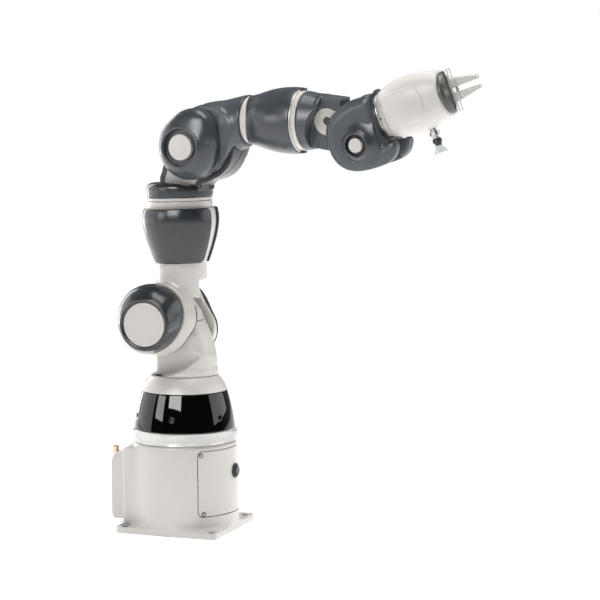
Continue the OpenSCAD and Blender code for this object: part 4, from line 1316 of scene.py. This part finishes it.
turned("suction_cup_tool", TOOL, "brass", ["suction_tool"], [
    [(0, -34), (4.8, -34), (4.8, -44), (7.2, -44.5), (7.2, -50), (5, -51), (5, -54), (0, -54)],
], axis="z", centre=(68, 0, 0), segments=64, radius=0.5, material=STEEL)
turned("suction_cup_bellows", TOOL, "dark_trim", [], [
    [(0, -54), (5, -54), (6.6, -56.5, 0.8), (6.6, -60), (4.8, -62), (4.8, -64.5), (0, -64.5)],
], axis="z", centre=(68, 0, 0), segments=64, radius=0.6)
turned("suction_cup_lip", TOOL, "clear_ring", [], [
    [(3.0, -64), (4.8, -64), (5.4, -67), (8.4, -72), (9.6, -75), (8.8, -75), (7.4, -72), (4.2, -68)],
], axis="z", centre=(68, 0, 0), segments=64, radius=0.3, material=CUP)

def finger_shape(side):
    def shape(x, y, z):
        w = z * side
        blade = outline(x, w, [(118.2, 4.7), (154.2, 4.7), (154.2, 8.6), (124, 14.6), (118.2, 14.6)], 0.8)
        blade = smax(blade, np.abs(y) - 6 + 0.03 * np.clip(x - 120, 0, 40), 1.0)
        carriage = smax(rounded_box(y, w - 9.8, 8, 5.9, 1.0), slab(x, 117.4, 124.4), 0.8)
        return smin(blade, carriage, 1.2)
    return shape


shell("gripper_upper_finger", UPPER_FINGER, "finger_grey", ["upper_finger"], finger_shape(1),
      (116, -10, 2), (160, 10, 18), 0.6)
shell("gripper_lower_finger", LOWER_FINGER, "finger_grey", ["lower_finger"], finger_shape(-1),
      (116, -10, -18), (160, 10, -2), 0.6)

# ---------- the CAD nodes that stay, such as drives and hubs inside the castings ----------

slots_of_nodes = {s["node"]: s["material_slot"] for s in frame["record"]["subparts"]}
for node_name, node_object in frame["nodes"].items():
    if node_object.hide_render:
        continue
    material = SLOT_MATERIALS[slots_of_nodes[node_name]]
    node_object.data.materials.clear()
    node_object.data.materials.append(material)

# ---------- floor, light and camera ----------


def stage_floor():
    """White paper that fades into the background."""
    mesh = bpy.data.meshes.new("floor")
    half = 8.0
    mesh.from_pydata([(-half, -half, 0), (half, -half, 0), (half, half, 0), (-half, half, 0)], [],
                     [[0, 1, 2, 3]])
    mat, nodes, links, bsdf = node_material("floor_paper")
    shade = two_tone(nodes, links, noise(nodes, links, 2.0), (0.74, 0.74, 0.74), (0.76, 0.76, 0.76))
    links.new(shade, bsdf.inputs["Base Color"])
    bsdf.inputs["Roughness"].default_value = 0.95
    bsdf.inputs["Specular IOR Level"].default_value = 0.0
    bsdf.inputs["Emission Color"].default_value = (1, 1, 1, 1)
    bsdf.inputs["Emission Strength"].default_value = 0.80
    mesh.materials.append(mat)
    floor = bpy.data.objects.new("floor", mesh)
    bpy.context.scene.collection.objects.link(floor)


LIT_POINT = Vector((0.12, 0.0, 0.38))


def soft_box(name, azimuth, elevation, distance, width, height, radiance, use="both"):
    """An area light seen from the arm at an azimuth (0 is straight in front, + to the right)."""
    light = bpy.data.lights.new(name, "AREA")
    light.shape = "RECTANGLE"
    light.size, light.size_y = width, height
    light.energy = radiance * math.pi * width * height
    obj = bpy.data.objects.new(name, light)
    a, e = math.radians(azimuth), math.radians(elevation)
    away = Vector((math.sin(a) * math.cos(e), -math.cos(a) * math.cos(e), math.sin(e)))
    obj.location = LIT_POINT + away * distance
    obj.rotation_euler = (-away).to_track_quat("-Z", "Y").to_euler()
    obj.visible_camera = False
    obj.visible_diffuse = use != "shine"
    obj.visible_glossy = use != "fill"
    bpy.context.scene.collection.objects.link(obj)


def studio_world(front, back, azimuth):
    """White to the camera, dim in front, bright behind, and darker again in reflections."""
    world = bpy.data.worlds.new("studio")
    world.use_nodes = True
    nodes, links = world.node_tree.nodes, world.node_tree.links
    shader = nodes["Background"]
    where = nodes.new("ShaderNodeTexCoord")
    toward = nodes.new("ShaderNodeVectorMath")
    toward.operation = "DOT_PRODUCT"
    a = math.radians(azimuth)
    toward.inputs[1].default_value = (-math.sin(a), math.cos(a), 0.15)
    links.new(where.outputs["Generated"], toward.inputs[0])
    ramp = nodes.new("ShaderNodeMapRange")
    ramp.interpolation_type = "SMOOTHSTEP"
    ramp.inputs["From Min"].default_value = -0.1
    ramp.inputs["From Max"].default_value = 0.75
    ramp.inputs["To Min"].default_value = front
    ramp.inputs["To Max"].default_value = back
    links.new(toward.outputs["Value"], ramp.inputs["Value"])
    path = nodes.new("ShaderNodeLightPath")
    choose = nodes.new("ShaderNodeMix")
    choose.inputs["B"].default_value = 1.0
    links.new(path.outputs["Is Camera Ray"], choose.inputs["Factor"])
    links.new(ramp.outputs["Result"], choose.inputs["A"])
    mirrored = nodes.new("ShaderNodeMath")
    mirrored.operation = "MULTIPLY_ADD"
    mirrored.inputs[1].default_value = -0.75
    mirrored.inputs[2].default_value = 1.0
    links.new(path.outputs["Is Glossy Ray"], mirrored.inputs[0])
    strength = nodes.new("ShaderNodeMath")
    strength.operation = "MULTIPLY"
    links.new(choose.outputs["Result"], strength.inputs[0])
    links.new(mirrored.outputs["Value"], strength.inputs[1])
    links.new(strength.outputs["Value"], shader.inputs["Strength"])
    shader.inputs["Color"].default_value = (1, 1, 1, 1)
    bpy.context.scene.world = world


def photo_camera():
    """The viewing angle: to the right of the front, a little above the middle of the arm."""
    azimuth, height, distance = math.radians(23.2), 0.6357, 2.944
    yaw, pitch, roll = (math.radians(a) for a in (-3.34, -5.76, 0.14))
    data = bpy.data.cameras.new("camera")
    data.sensor_width = 36.0
    data.lens = 119.9
    data.clip_end = 60.0
    camera = bpy.data.objects.new("camera", data)
    turn = (Matrix.Rotation(azimuth, 3, "Z") @ Matrix.Rotation(yaw, 3, "Z")
            @ Matrix.Rotation(pitch, 3, "X") @ Matrix.Rotation(roll, 3, "Y"))
    right, ahead, up = turn.col[0], turn.col[1], turn.col[2]
    basis = Matrix((right, up, -ahead)).transposed()
    place = Vector((math.sin(azimuth) * distance, -math.cos(azimuth) * distance, height))
    camera.matrix_world = Matrix.Translation(place) @ basis.to_4x4()
    bpy.context.scene.collection.objects.link(camera)
    bpy.context.scene.camera = camera


stage_floor()
studio_world(0.03, 0.70, 23.2)
soft_box("key", -17, 42, 2.4, 1.0, 1.1, 4.2, "fill")
soft_box("key_strip", -5, 26, 2.4, 1.3, 1.1, 11.0, "shine")
soft_box("low_left", -42, 11, 2.6, 0.9, 0.7, 6.0, "shine")
soft_box("left_fill", -100, 34, 2.4, 1.3, 1.5, 5.6, "fill")
soft_box("left_strip", -122, 12, 2.4, 0.5, 2.0, 5.5, "shine")
soft_box("left_wall", -86, 12, 2.4, 2.4, 1.6, 1.6, "shine")
soft_box("right_fill", 118, 42, 2.4, 1.5, 1.5, 3.6, "fill")
soft_box("right_wall", 118, 16, 2.4, 2.4, 1.4, 2.0, "shine")
soft_box("top", 90, 80, 2.0, 1.3, 1.3, 6.2)
photo_camera()
bpy.context.scene.view_settings.view_transform = "Standard"
